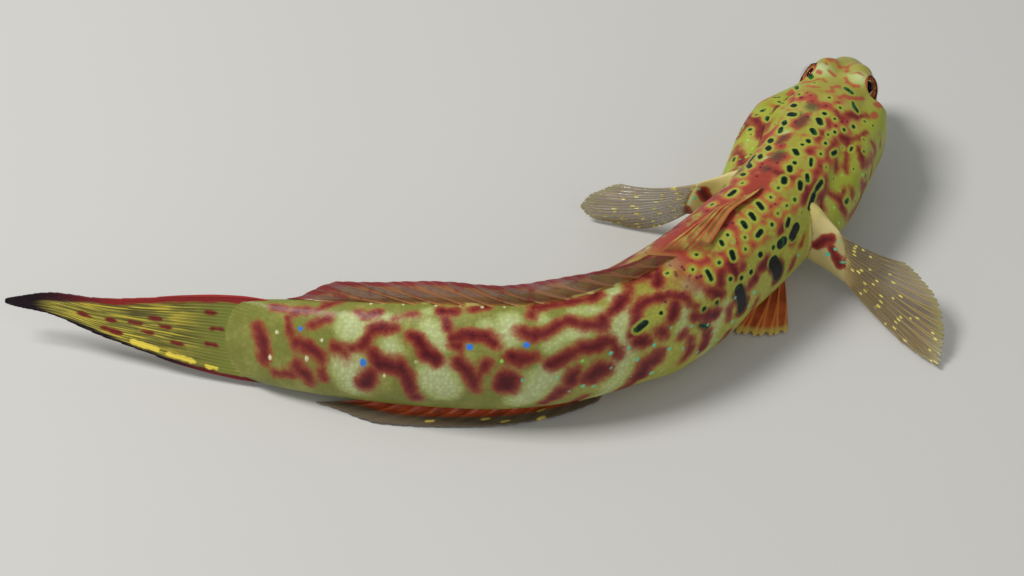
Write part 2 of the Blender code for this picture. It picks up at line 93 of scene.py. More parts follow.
# The eyes (right 1, left -1), and the domes of the orbits and brows over them
EYE_RADIUS = 1.75
EYE_PLACE = np.array((8.4, 2.95, 3.75))
EYE_GAZES = {1: np.array((0.113, 0.903, 0.414)), -1: np.array((0.1, 0.85, 0.52))}
SOCKET_CLEARANCE = 0.06
ORBIT_RADIUS = 2.26
ORBIT_SINK = 0.65
ORBIT_BLEND = 0.35
BROW_PLACE = np.array((6.5, 1.85, 3.75))
BROW_RADIUS = 1.75
BROW_BLEND = 0.5
MOUTH_LENGTH = 8.5
MOUTH_HEIGHTS = ((-1, 0.6), (0, 0.6), (3, 0.2), (8.5, -1.6))
LIP_RADIUS = 0.52
LIP_OFFSET = 0.8
LIP_SINK = 0.2
LIP_BLEND = 0.12
LIP_THINNING = 0.55  # the part of their thickness that the lips lose towards the mouth's corners
NOSTRIL_RADIUS = 0.2
NOSTRIL_BLEND = 0.3
FAR = 4.0  # distances to marks aren't followed further than this
MARK_BLEND = 0.3


def smooth(table, x):
    """A curve through a table's points, in cubic pieces that never overshoot them."""
    knots, values = np.array(table, float).T
    steps = np.diff(knots)
    slopes = np.diff(values) / steps
    tangents = np.zeros(len(knots))
    tangents[0], tangents[-1] = slopes[0], slopes[-1]
    for i in range(1, len(knots) - 1):
        if slopes[i - 1] * slopes[i] > 0:
            tangents[i] = 2 * slopes[i - 1] * slopes[i] / (slopes[i - 1] + slopes[i])
    x = np.clip(np.asarray(x, float), knots[0], knots[-1])
    i = np.clip(np.searchsorted(knots, x, side="right") - 1, 0, len(steps) - 1)
    t = (x - knots[i]) / steps[i]
    return (
        (1 + 2 * t) * (1 - t) ** 2 * values[i]
        + t * (1 - t) ** 2 * steps[i] * tangents[i]
        + t**2 * (3 - 2 * t) * values[i + 1]
        + t**2 * (t - 1) * steps[i] * tangents[i + 1]
    )


def ease(low, high, x):
    """0 below low, 1 above high, and a smooth rise between."""
    t = np.clip((np.asarray(x, float) - low) / (high - low), 0, 1)
    return t * t * (3 - 2 * t)


STEP = 0.25
STATIONS = np.arange(HEADINGS[0][0], TOTAL_LENGTH + STEP, STEP)
TURNS = np.radians(smooth(HEADINGS, STATIONS))
MIDDLES = (TURNS[1:] + TURNS[:-1]) / 2
PATH = np.zeros((len(STATIONS), 2))
PATH[1:] = -STEP * np.cumsum(np.stack([np.cos(MIDDLES), np.sin(MIDDLES)], -1), axis=0)
PATH += np.array(SNOUT_PLACE) - PATH[np.searchsorted(STATIONS, 0)]


def place(station, side, height):
    """Where a point of the straight fish lies once the fish is bent and leant over."""
    station, side, height = np.broadcast_arrays(*(np.asarray(v, float) for v in (station, side, height)))
    turn = np.radians(smooth(HEADINGS, station))
    lean = np.radians(smooth(LEANS, station))
    across = side * np.cos(lean) - height * np.sin(lean)
    x = np.interp(station, STATIONS, PATH[:, 0]) + across * np.sin(turn)
    y = np.interp(station, STATIONS, PATH[:, 1]) - across * np.cos(turn)
    z = smooth(AXIS_HEIGHTS, station) + side * np.sin(lean) + height * np.cos(lean)
    return np.stack([x, y, z], -1)


def cover_bulge(station, angle):
    """How far a cheek or gill cover stands out from the body's own section."""
    end, none = COVER_WINDOW[2:]
    around = np.abs(angle)
    behind = ease(17, COVER_EDGE, station)
    windows = zip(COVER_WINDOW, COVER_WINDOW_BEHIND)
    low, full = (first + (last - first) * behind for first, last in windows)
    right, left = smooth(RIGHT_COVER_BULGES, station), smooth(LEFT_COVER_BULGES, station)
    standing = np.where(np.asarray(angle) < 0, left, right)
    return standing * ease(low, full, around) * (1 - ease(end, none, around))


def straight_skin(station, angle, out=0.0):
    """The straight fish's surface at a station and an angle, moved outwards by out."""
    station, angle, out = np.broadcast_arrays(*(np.asarray(v, float) for v in (station, angle, out)))
    a = np.radians(angle)
    power = 2 / ROUNDNESS
    across = np.sign(np.sin(a)) * np.abs(np.sin(a)) ** power
    upward = np.sign(np.cos(a)) * np.abs(np.cos(a)) ** power
    reach = np.where(upward > 0, smooth(RISES, station), smooth(DROPS, station))
    side = smooth(HALF_WIDTHS, station) * across + out * np.sin(a)
    return np.stack([station, side, reach * upward + out * np.cos(a)], -1)


def mouth_line():
    """Points of the straight fish round the snout along the mouth, and each one's way outwards."""
    rearward = np.array((0.45, 1.0, 1.8, 2.8, 4.0, 5.4, 7.0, MOUTH_LENGTH))
    level = smooth(MOUTH_HEIGHTS, rearward)
    reach = np.where(level > 0, smooth(RISES, rearward), smooth(DROPS, rearward))
    share = np.abs(level) / reach
    side = smooth(HALF_WIDTHS, rearward) * (1 - share**ROUNDNESS) ** (1 / ROUNDNESS)
    side = side + cover_bulge(rearward, 100)
    station = np.concatenate([rearward[::-1], [0.12], rearward])
    side = np.concatenate([-side[::-1], [0.0], side])
    points = np.stack([station, side, smooth(MOUTH_HEIGHTS, station)], -1)
    outward = np.cross(np.gradient(points, axis=0), (0.0, 0.0, 1.0))
    outward /= np.linalg.norm(outward, axis=1)[:, None]
    if outward[len(station) // 2, 0] > 0:
        outward = -outward
    return points, outward


def stroke(points, start, end):
    """How far points are from the stretch between two points."""
    along = end - start
    share = np.clip(((points - start) @ along) / max(along @ along, 1e-9), 0, 1)
    return np.linalg.norm(points - start - share[:, None] * along, axis=1)


def stretches(ends):
    """The two points of each stretch of a line, or a single point twice."""
    return zip(ends[:-1], ends[1:]) if len(ends) > 1 else ((ends[0], ends[0]),)


def soft_least(a, b, blend):
    """The smaller of two distances, with the corner between them filled over a length."""
    near = np.clip(1 - np.abs(a - b) / blend, 0, None)
    return np.minimum(a, b) - blend * near**2 / 4


def raised_forms(points):
    """How far points are outside the domes over the eyes, the lips and the tube nostrils."""
    found = np.full(len(points), 9.0)
    for mirror in (1, -1):
        orbit = EYE_PLACE - ORBIT_SINK * EYE_GAZES[mirror]
        for dome, radius, blend in (
            (orbit, ORBIT_RADIUS, ORBIT_BLEND), (BROW_PLACE, BROW_RADIUS, BROW_BLEND),
        ):
            away = np.linalg.norm(points - dome * (1, mirror, 1), axis=1)
            found = soft_least(found, away - radius, blend)
    line, outward = mouth_line()
    thinning = 1 - LIP_THINNING * ease(4.5, MOUTH_LENGTH, line[:, 0])
    for rise in (1, -1):
        upward = np.stack([0 * thinning, 0 * thinning, rise * LIP_OFFSET * thinning], -1)
        lip = line - LIP_SINK * outward + upward
        for i in range(len(lip) - 1):
            thick = LIP_RADIUS * (thinning[i] + thinning[i + 1]) / 2
            found = soft_least(found, stroke(points, lip[i], lip[i + 1]) - thick, LIP_BLEND)
    for mirror in (1, -1):
        root, end = straight_skin(3.0, mirror * 50, -0.25), straight_skin(2.8, mirror * 50, 0.05)
        found = soft_least(found, stroke(points, root, end) - NOSTRIL_RADIUS, NOSTRIL_BLEND)
    return found


def select(*pieces):
    """Leaves only these pieces selected, and makes the last of them active."""
    bpy.ops.object.select_all(action="DESELECT")
    for piece in pieces:
        piece.select_set(True)
        bpy.context.view_layer.objects.active = piece


def newest(name):
    """The object that was added last, now with its name, and its vertices' places."""
    piece = bpy.context.object
    piece.name = piece.data.name = name
    flat = np.empty(3 * len(piece.data.vertices), np.float32)
    piece.data.vertices.foreach_get("co", flat)
    return piece, flat.reshape(-1, 3).astype(float)


def grid(name, along, across):
    """A flat grid of faces with its vertices' shares along it and across it."""
    select()
    bpy.ops.mesh.primitive_grid_add(x_subdivisions=along, y_subdivisions=across, size=1)
    piece, points = newest(name)
    shares = points + 0.5
    return piece, shares[:, 0], shares[:, 1]


def set_points(piece, points):
    piece.data.vertices.foreach_set("co", (MM * points).astype(np.float32).ravel())
    piece.data.update()


def clean_up(piece, merge):
    """Merges a piece's doubled vertices and turns its faces outwards."""
    select(piece)
    bpy.ops.object.mode_set(mode="EDIT")
    bpy.ops.mesh.select_all(action="SELECT")
    bpy.ops.mesh.remove_doubles(threshold=merge)
    bpy.ops.mesh.normals_make_consistent(inside=False)
    bpy.ops.object.mode_set(mode="OBJECT")


def flat_distance(x, y, marks, stretch=None):
    """How far points are outside the nearest of some marks. Stretch turns angles into millimetres."""
    found = np.full(len(x), FAR)
    for half_width, *line in marks:
        ends = np.array(line, float)
        near = np.flatnonzero((x > ends[:, 0].min() - FAR) & (x < ends[:, 0].max() + FAR))
        scale = 1.0 if stretch is None else stretch(ends[:, 0].mean())
        here = np.stack([x[near], y[near] * scale], -1)
        for start, end in stretches(ends * (1, scale)):
            found[near] = soft_least(found[near], stroke(here, start, end) - half_width, MARK_BLEND)
    return found


def arc_of_degree(station):
    """How many millimetres of skin a degree takes round the body at a station."""
    rise_and_drop = (smooth(RISES, station) + smooth(DROPS, station)) / 2
    cover = 0.4 * smooth(RIGHT_COVER_BULGES, station) * (station < COVER_EDGE)
    return np.radians((smooth(HALF_WIDTHS, station) + rise_and_drop) / 2 + cover)


# The stations of the sections, close together on the snout and round the eyes
ROW_GAPS = ((0, 0.02), (0.4, 0.04), (1, 0.075), (3, 0.1), (11, 0.12), (14, 0.2), (60, 0.3))
row_stations = [0.0]
while row_stations[-1] < SKIN_END:
    row_stations.append(row_stations[-1] + np.interp(row_stations[-1], *zip(*ROW_GAPS)))
row_stations = np.array(row_stations)
# The folded edge of a gill cover, as shares of the fold, distances behind the edge and heights
FOLD_BEGIN, FOLD_STOP, FOLD_ROWS = 26.0, 29.0, 36
FOLD_BACKS = (
    (0, -1.8), (0.3, -0.25), (0.38, 0), (0.44, 0.02), (0.5, -0.2), (0.72, -1.5), (0.8, -1.55), (1, 1.2),
)
FOLD_LIFTS = (
    (0, 1), (0.3, 0.98), (0.38, 0.92), (0.44, 0.84), (0.5, 0.77), (0.72, 0.7), (0.8, 0.56), (1, SHOULDER),
)
before = row_stations[row_stations < FOLD_BEGIN]
after = row_stations[row_stations > FOLD_STOP]
after[-1] = SKIN_END
folds = np.linspace(0, 1, FOLD_ROWS)
rows = len(before) + len(folds) + len(after)
COLUMNS = 170

skin, row_share, column_share = grid("skin", rows - 1, COLUMNS)
row = np.rint(row_share * (rows - 1)).astype(int)
angle = 360 * column_share - 180
around = np.abs(angle)
left_extra = LEFT_COVER_EXTRA * ease(62, 76, -angle) * (1 - ease(88, 104, -angle))
cut_back = smooth(COVER_EDGES, around) - COVER_EDGE + left_extra
fold = np.clip((row - len(before)) / (FOLD_ROWS - 1), 0, 1)
in_fold = (row >= len(before)) & (row < len(before) + FOLD_ROWS)
plain = np.concatenate([before, folds, after])[row]
following = np.where(plain < COVER_EDGE, ease(12, FOLD_BEGIN, plain), 1 - ease(FOLD_STOP, 38, plain))
flap = ease(44, 60, around) * (1 - ease(138, 156, around))
back = flap * smooth(FOLD_BACKS, fold) + (1 - flap) * (3 * fold - 1.8)
lift = flap * smooth(FOLD_LIFTS, fold) + (1 - flap) * (1 - (1 - SHOULDER * flap) * ease(0, 1, fold))
station = np.where(in_fold, COVER_EDGE + cut_back + back, plain + cut_back * following)
bulge = cover_bulge(np.minimum(station, COVER_EDGE), angle)
shoulder = bulge * SHOULDER * flap * (1 - ease(FOLD_STOP, 36, plain))
out = np.where(in_fold, bulge * lift, np.where(plain < COVER_EDGE, bulge, shoulder))
# A shallow trough between the eyes, and the groove along the top of the left gill cover
TROUGH_DEPTH, TROUGH_ANGLE = 0.3, 20
GROOVE_DEPTH, GROOVE_HALF_WIDTH = 0.16, 0.25
GROOVE = ((0.0, (13.4, -44), (16.6, -50), (20.7, -55), (23.7, -54), (25.5, -59), (26.8, -64)),)
between_eyes = ease(4.5, 7.5, station) * (1 - ease(9.5, 13, station))
out = out - TROUGH_DEPTH * np.exp(-((angle / TROUGH_ANGLE) ** 2)) * between_eyes
groove = flat_distance(station, angle, GROOVE, arc_of_degree)
out = out - GROOVE_DEPTH * np.exp(-((groove / GROOVE_HALF_WIDTH) ** 2)) * (station < 27)
straight = straight_skin(station, angle, out)
# The tail stem's thin end is rounded, with slight waves
tail_level = straight[:, 2] / 5
rounded = 1.5 * (1 - tail_level**2) + 0.12 * np.cos(2 * np.pi * 12 * tail_level) - 0.6
straight[:, 0] += ease(94, SKIN_END, plain) * rounded

# The head's forms are found from outside, along lines that spread from the middle of the head
HEAD_END = 13.5
HEART_STATION, HEART_HEIGHT = 5.0, 0.2
SEARCH_START, SEARCH_STEPS, SEARCH_BLEND = 3.2, 30, 0.8
near = np.flatnonzero(station < HEAD_END)
start = straight[near]
heart = np.stack(
    [np.maximum(start[:, 0], HEART_STATION), 0 * start[:, 0], np.full(len(start), HEART_HEIGHT)], -1
)
beam = start - heart
beam /= np.linalg.norm(beam, axis=1)[:, None]
away = np.full(len(start), SEARCH_START)
for _ in range(SEARCH_STEPS):
    away -= soft_least(away * 0.9, raised_forms(start + away[:, None] * beam), SEARCH_BLEND)
straight[near] = start + np.where(np.abs(away) < FAR, away, 0)[:, None] * beam

# The skin's markings, as distances outside the nearest mark of each kind. A mark is a half width
# and the points (station, angle) of a line. The black ocelli of the nape are written as station,
# angle and half width, and longer ones also with half of what they run back and down.
OCELLI = (
    (9.9, -35, 0.3, 0.3, 3), (11.5, 17, 0.32, 0.15, 4), (11.6, -22, 0.15), (12.1, -45, 0.22, 0.4, 3),
    (14.3, -31, 0.22), (13.5, 28.5, 0.24, 0.2, 1), (13.9, 34, 0.28, 0.1, 2.5), (14.3, 2, 0.16),
    (15.3, 17, 0.2), (14.7, 50, 0.15), (14.4, 59, 0.15), (16.8, -29, 0.35, 0.1, 2), (16.6, 42, 0.3),
    (15.7, -51, 0.15), (15.9, -46, 0.15), (17.4, 6, 0.28), (17.5, 18, 0.18), (18.7, -24, 0.4, 0.1, 3.5),
    (19, 6, 0.36, 0.25, 1.5), (18.1, 34, 0.24), (19.4, 26, 0.24), (17.9, -59, 0.2), (18.7, 64, 0.15),
    (17.3, 58, 0.12), (20.4, -27, 0.35, 0.2, 1.5), (21.9, -26, 0.36, 0.3, 1), (23.9, -31, 0.38, 0.2, 2),
    (25.5, -26, 0.38, 0.2, 2), (27.2, -29, 0.34, 0.25, 2), (29, -35, 0.34, 0.4, 4),
    (31, -32, 0.28, 0.15, 3), (32.8, -20, 0.2), (35, -19, 0.34, 0.4, 0), (37.7, -27, 0.24),
    (21, 6, 0.34, 0.2, 1.5), (22.8, 7, 0.32), (23.7, 4, 0.2), (25.2, 3, 0.3, 0.2, 1.5), (26.8, 8, 0.28),
    (28, 8, 0.3, 0.25, 1), (29.9, 11, 0.34, 0.25, 1), (31.3, 12, 0.22), (33, 13, 0.22),
    (34.8, 12, 0.3, 0.1, 3), (36.6, 15, 0.3, 0.1, 3), (38.2, 16, 0.3, 0.1, 2.5), (21.8, 24, 0.22),
    (23.6, 26, 0.18), (25.5, 22, 0.24, 0.35, 1.5), (27.6, 29, 0.3, 0.2, 2), (29.1, 28, 0.32, 0.3, 2),
    (31, 34, 0.26), (32.4, 32, 0.2), (33.9, 31, 0.22), (35.5, 36, 0.26), (37.5, 34, 0.3, 0.35, 0.5),
    (22, 39, 0.28, 0.3, -1), (24.5, 40, 0.15), (27, 46, 0.34, 0.55, 0), (29.2, 51, 0.34, 0.7, 3),
    # The long ocelli at (35.4, 60), (33.2, 61), (36.9, 80) and (42.8, 80) are dark marks that also paint the
    # shadow in the gap along the gill cover's edge and the lobe
    (31.2, 51, 0.15), (33.5, 47, 0.28, 0.3, 2), (36.8, 57, 0.26), (35.4, 60, 0.55, 0.3, 0),
    (33.2, 61, 0.6, 0.4, 2), (39.3, 27, 0.18), (38.8, 53, 0.36), (40.7, 13, 0.22), (42, 16, 0.24, 0.1, 2),
    (40.2, 37, 0.2), (42, 33.5, 0.32, 0.1, 3), (43.9, 31, 0.24), (43.6, 9, 0.14), (45.3, 10, 0.22),
    (45.8, 36, 0.26, 0.05, 5), (47, 21, 0.2), (43.7, 53, 0.26), (40.8, 62, 0.3), (42.3, 60, 0.28),
    (46.3, 66, 0.26), (48, 64, 0.28), (48.3, 82, 0.22, 0.4, -3), (49.6, 11, 0.2), (52.6, 47, 0.24),
    (54.9, 53, 0.34, 0.5, 2), (36.9, 80, 0.8, -0.4, 8), (42.8, 80, 0.7, -0.2, 10), (20.4, 21, 0.2),
    (20.4, 45, 0.13), (19.7, 53, 0.15, 0.25, 0), (21.6, 66, 0.13), (24.5, 57, 0.13), (20.2, 81, 0.26),
    (25, 79, 0.16, 0.25, 0), (23.6, 87, 0.12), (20.2, -75, 0.24), (21, -65, 0.2),
)
BLOTCHES = (
    # the nape and the gill cover
    (0.29, (16.2, 15), (16.9, 22), (16.8, 26)), (0.4, (16.8, 26)), (0.36, (18.2, 13), (19.1, 17)),
    (0.16, (16.3, 2)), (0.3, (20.4, 13), (20.6, 15)), (0.23, (21.7, 15), (21.9, 15)),
    (0.34, (24.2, 13), (24.2, 15)), (0.43, (15.5, 29), (14.9, 39), (13.5, 49)),
    (0.39, (20.4, 33), (22.1, 32)), (0.43, (19.3, 37), (18.8, 45), (19.5, 48)),
    (0.27, (18.6, 45), (17.5, 53), (16.1, 56)), (0.19, (22.7, 32), (23.3, 36)),
    (0.48, (22.7, 47), (23.4, 53)), (0.4, (20.6, 52), (22, 58), (22.4, 62)),
    (0.4, (19, 59), (19.6, 67), (20.2, 72)), (0.43, (17.9, 79), (19.8, 72)), (0.31, (14.2, 71), (14.7, 80)),
    (0.31, (16.6, 66), (16.5, 78), (17.9, 76), (17.7, 85), (18, 91)),
    (0.37, (20, 78), (20.4, 83), (19.8, 91), (21.5, 84)), (0.37, (21.5, 81), (20.9, 89)),
    (0.27, (19.9, 85), (20.2, 91), (21.2, 93), (21.7, 97)), (0.34, (25.6, 49), (26.4, 57), (28.1, 55)),
    (0.4, (26.3, 61), (26, 68), (25.6, 75), (26, 79), (26, 86)), (0.31, (24.4, 71), (25.1, 73)),
    (0.27, (23.7, 76), (24, 80)), (0.31, (22.8, 96), (25.8, 90)), (0.29, (28.2, 70), (28.1, 66)),
    (0.21, (25, 34)), (0.29, (26.1, 34)),
    # the flank
    (0.47, (30.1, 44), (28.7, 40), (27.2, 40)), (0.53, (33.1, 59), (33.9, 68)),
    (0.24, (32.6, 80), (32, 76)), (0.3, (34.2, 97), (33.7, 91)), (0.47, (38.3, 68), (38.9, 66)),
    (0.47, (34.4, 47), (35.1, 49)), (0.47, (26.6, 57), (28.2, 61), (29.3, 0)),
    (0.62, (54.2, 6), (53.1, 2), (51.4, 4)), (0.62, (50, 2), (51.4, 17)),
    (0.62, (49.7, 42), (50.8, 34), (52.3, 30), (53.7, 30), (54.8, 36), (55.4, 49), (56, 59)),
    (0.65, (49.5, 44), (48.9, 57)), (0.73, (50.8, 44), (51.7, 57)), (0.9, (55.4, 68), (55.1, 70)),
    (0.78, (53.1, 64), (52.8, 68)), (0.98, (53.7, 91), (54.8, 95), (55.4, 106)),
    (0.55, (51.1, 80), (50.8, 78)), (0.62, (50, 89), (50, 95), (50.6, 106)),
    (0.82, (47.8, 93), (48.1, 104)), (0.69, (49.2, 64), (49.2, 68)), (0.82, (47.8, 74), (46.7, 78)),
    (0.73, (46.7, 51), (45.6, 61)), (0.55, (44.3, 42), (45.1, 51)), (0.73, (42.7, 38), (42.7, 51)),
    (0.46, (41.7, 51), (41.4, 49)), (0.57, (44.3, 112), (45.1, 127)), (0.55, (44.6, 83), (44.6, 89)),
    (0.55, (41.4, 76), (40.4, 72)), (0.49, (40.4, 116), (40.1, 97)), (0.62, (39.4, 66), (38.1, 64)),
    (0.23, (50.6, 133), (48.4, 127)), (0.57, (57.4, 30), (55.4, 19), (54, 8)),
    # the tail stem
    (0.73, (74.5, 13), (73.3, 13)), (0.52, (74.2, 23), (73.9, 36)),
    (0.73, (73.3, 47), (72.1, 42), (70, 42), (69.1, 51)), (0.52, (73.3, 55), (72.7, 57)),
    (0.73, (71.2, 8), (70, 0)), (0.82, (72.7, 74), (71.8, 83), (71.2, 93)), (0.57, (70, 72), (70.9, 89)),
    (1.17, (68.2, 91), (67.9, 91)), (0.73, (67.6, 64), (66.7, 68), (65.5, 66)),
    (0.69, (66.4, 36), (65.2, 42), (64, 40), (62.8, 32), (61.6, 28), (60.1, 36), (58.6, 40), (58.3, 34)),
    (0.57, (65.2, 17), (64.9, 6), (62.5, 6), (60.7, 6), (58.9, 6)), (0.73, (58.6, 6), (57.7, 2)),
    (0.69, (64, 74), (62.2, 66), (60.7, 61), (58.9, 61), (58, 61), (57.7, 74)),
    (0.73, (62.2, 91), (61.6, 85)), (0.82, (60.4, 91), (59.5, 85), (58.9, 87)),
    (0.62, (64.6, 123), (63.7, 112), (63.1, 104)), (0.36, (61.6, 136), (60.7, 119)),
    (0.46, (57.4, 136), (56.3, 123), (55.7, 110)), (0.73, (94.9, 64), (94.3, 81), (94, 96)),
    (0.57, (93.7, 21), (92.2, 25)), (0.82, (90.7, 27), (89.8, 23)),
    (0.41, (91.6, 40), (91.3, 57), (90.7, 72)), (0.65, (90.4, 74), (88.6, 76), (87.4, 85)),
    (0.69, (88.6, 47), (87.1, 36)), (0.33, (88.6, 25), (87.4, 8), (85.9, -4)),
    (0.65, (86.2, 70), (84.7, 76)), (0.62, (84.1, 72), (82.9, 66), (82, 47), (80.8, 42)),
    (0.41, (83.8, 21), (82.9, 28), (81.4, 19)), (0.49, (80.5, 44), (79.3, 40)),
    (0.46, (79.6, 28), (77.5, 19)), (0.69, (77.8, 49), (76.9, 53), (76, 66), (75.1, 72)),
    (0.73, (81.7, 74), (81.1, 83), (78.7, 85), (78.1, 93), (77.2, 116)), (0.95, (82.6, 108), (82, 97)),
    (0.69, (90.1, 101), (89.2, 108), (88.9, 116)), (0.52, (92.8, 116), (90.7, 112)),
    (0.36, (87.4, 100), (87.1, 108)),
)
LEFT_BLOTCHES = (
    (0.5, (18.2, -75), (19.2, -62), (20.7, -56), (22, -57)), (0.5, (24.5, -71), (26.6, -66), (26.6, -61)),
    (0.22, (19.1, -51), (21.3, -50)),
)
HEAD_REDS = (
    (0.11, (3.6, -32)), (0.25, (6.7, 1), (6.6, 1)), (0.21, (7.1, -23), (7.5, -20)),
    (0.18, (4.1, -28), (5.5, -17), (7.1, -4)), (0.29, (9.4, -26), (9.4, -22)),
    (0.25, (8.7, -13), (9.1, -5)), (0.2, (7.6, 3), (7.8, 6)),
    (0.12, (7.6, 6), (6.3, 6), (5.6, 13), (5.3, 21)), (0.15, (8.3, 14), (8.1, 21), (8.4, 27)),
    (0.21, (9.2, 7), (10, 12), (10.2, 21), (10, 28)),
    (0.16, (11.2, -28), (10.6, -21), (10.5, -15), (11.1, -9)),
    (0.18, (12.3, -30), (12.7, -18), (12.7, -12)), (0.28, (10.7, -44), (11.2, -31)),
    (0.29, (13.9, -48), (12.7, -48)), (0.18, (13.2, -2), (13, 2), (12, -0), (11.2, 4), (11.7, 8)),
    (0.29, (13.7, 11), (12.9, 15), (12.7, 24), (11.2, 39)), (0.43, (12.9, 20), (12.5, 26)),
    (0.37, (11, 56), (9.8, 63)), (0.43, (13, 55), (12.5, 57)), (0.14, (2.8, -47), (4, -30), (6, -17)),
    (0.25, (6.2, -24), (6.6, -17)), (0.3, (14.4, -59), (15.4, -67), (16.7, -72)),
    (0.2, (12.7, -49), (14.5, -36)),
)
# Marks low on the cheeks and jaws, the same on both sides
CHEEK_REDS = (
    (0.2, (8.9, 92), (10.5, 99), (12.4, 101)), (0.18, (5.4, 78), (6.6, 90), (7.4, 97)),
    (0.18, (3.1, 64), (4.3, 76)), (0.24, (13.4, 95), (15, 98), (16.4, 104)),
    (0.18, (5.5, 120), (8, 126), (10.5, 124)), (0.22, (12.3, 114), (14.6, 119)),
    (0.26, (17.2, 108), (19, 113), (20.4, 111)),
)
CHEEK_OCELLI = (
    (0.17, (12.4, 93), (12.6, 96)), (0.2, (15.2, 108)), (0.15, (10.6, 108)), (0.2, (18, 102), (18.2, 105)),
    (0.13, (8.1, 101)), (0.14, (12.9, 106)), (0.16, (19.6, 119)),
)
PALE_PATCHES = (
    (0.9, (55.7, 4), (56.3, 11)), (0.98, (56.3, 30), (56.9, 40), (57.2, 59), (56.6, 72), (58, 89)),
    (0.73, (50, 55), (51.1, 72)), (0.98, (48.4, 32), (47.8, 44)), (0.98, (47.5, 4), (48.1, 2)),
    (0.82, (45.4, 76), (46.7, 89), (47.8, 127)), (1.47, (67.6, 25), (67.9, 42)),
    (0.98, (75.1, 42), (74.8, 51)), (2.04, (74.5, 93), (74.2, 97)), (1.55, (64.3, 85), (66.7, 112)),
    (0.69, (64, 57), (61.9, 42), (60.4, 44)), (0.59, (61, 17), (58.3, 23)), (0.52, (64.3, 23), (64, 23)),
    (0.9, (56, 34), (56.9, 55), (56.9, 80), (58, 106), (59.2, 133)), (0.73, (70, 28)),
    (1.79, (84.4, 45), (84.1, 45)), (0.98, (82.9, 40), (82.3, 38)), (1.22, (79.9, 64)),
    (1.31, (75.7, 40), (74.5, 53)), (1.96, (84.4, 91), (83.8, 106)), (2.04, (75.1, 91), (74.5, 93)),
    (0.73, (80.5, 28)), (0.65, (76.3, 13)), (1.1, (8.8, 23)), (1.0, (8.2, -24)), (0.7, (22.5, -18)),
    (0.8, (27.6, -16), (29.4, -14)),
)
SMOKE = (
    (0.9, (16.8, -8)), (0.7, (19.4, -8), (20.6, -9)), (0.7, (23.3, -15), (24.2, -17)),
    (0.9, (26.4, -9), (27, -10)), (0.6, (29.3, -10)), (0.6, (18.6, -14)),
)
# Small bright spots by colour, and where each colour lies in the material's row of colours
PURPLE, CREAM, LIME, TURQUOISE, BLUE = 0.1, 0.3, 0.5, 0.7, 0.9
SPOTS = {
    TURQUOISE: (
        (43.7, 75), (47.1, 93), (46.1, 108), (44, 98), (41.5, 95), (40.7, 86), (47.8, 83), (48.9, 106),
        (52, 66), (52.4, 87), (50.9, 92), (54, 77), (53, 111), (54.2, 109), (55.8, 86), (49.8, 74),
        (56.5, 71), (58.3, 72), (58.4, 87), (56.4, 103), (54.1, 108), (61, 100), (60, 103), (62.3, 105),
        (63.4, 88), (66.6, 88), (33, 89),
    ),
    LIME: (
        (20.9, 76), (22.2, 88), (24, 97), (27.1, 64), (18.9, 93), (23.3, 62), (25, 69), (27, 74),
        (27.5, 85), (21.5, 102), (61, 74), (68.5, 69), (25.4, -63), (22.6, -66),
    ),
    BLUE: (
        (66.1, 52), (71.6, 56), (82.8, 84), (90, 55),
    ),
    # The last six cream spots, along the ridge at the second dorsal fin's root, are painted highlights of wet
    # glints
    CREAM: (
        (77.1, 77), (80.5, 93), (85.8, 90), (87.5, 66), (89.1, 89), (92.7, 65), (93.4, 96), (68, 3),
        (70.4, 3), (72.8, 2), (75.4, 3), (79, 3), (82.6, 3),
    ),
    PURPLE: (
        (39, 7), (46.3, 12), (46.7, 32), (47.7, 25), (49, 18), (50.8, 46), (54.5, 32), (55.6, 15),
        (57.3, 25), (64.6, 43),
    ),
}
SPOT_RADII = {TURQUOISE: 0.15, LIME: 0.15, BLUE: 0.3, CREAM: 0.15, PURPLE: 0.16}
FLANK_START = 27.5  # the marks ahead of this station are on the head and gill covers
NET_DOTS = 150
DOT_CLEARANCE = 0.65  # how far the net's small purple dots keep from an ocellus
NO_MARKS = dict.fromkeys(("ocellus", "maroon", "red", "pale", "smoke", "crease", "glint", "dot", "rim"), FAR)
NO_MARKS |= {"kind": 0.0, "net": 0.0, "tone": 1.0, "lobe": 0.0, "station": 27.0, "arc": 0.0, "belly": 0.0}
chance = np.random.default_rng(11)


def ocellus_mark(station, angle, half_width, back=0, down=0):
    return half_width, (station - back, angle - down), (station + back, angle + down)


def mirrored(marks, start):
    """The marks whose angles are past start, moved to the fish's other side with a little change."""
    found = []
    for half_width, *line in marks:
        if min(point[1] for point in line) > start:
            moved = chance.normal(0, (0.35, 2.5))
            found.append((half_width, *[(point[0] + moved[0], -point[1] - moved[1]) for point in line]))
    return tuple(found)


def outside(marks):
    """How far the skin's vertices are outside the nearest of some marks."""
    return flat_distance(station, angle, marks, arc_of_degree)


def store(piece, fields):
    """Keeps a value of each field with each of a piece's vertices."""
    for name, value in fields.items():
        values = np.broadcast_to(np.asarray(value, np.float32), len(piece.data.vertices))
        kept = piece.data.attributes.new(name, "FLOAT", "POINT")
        kept.data.foreach_set("value", np.ascontiguousarray(values))


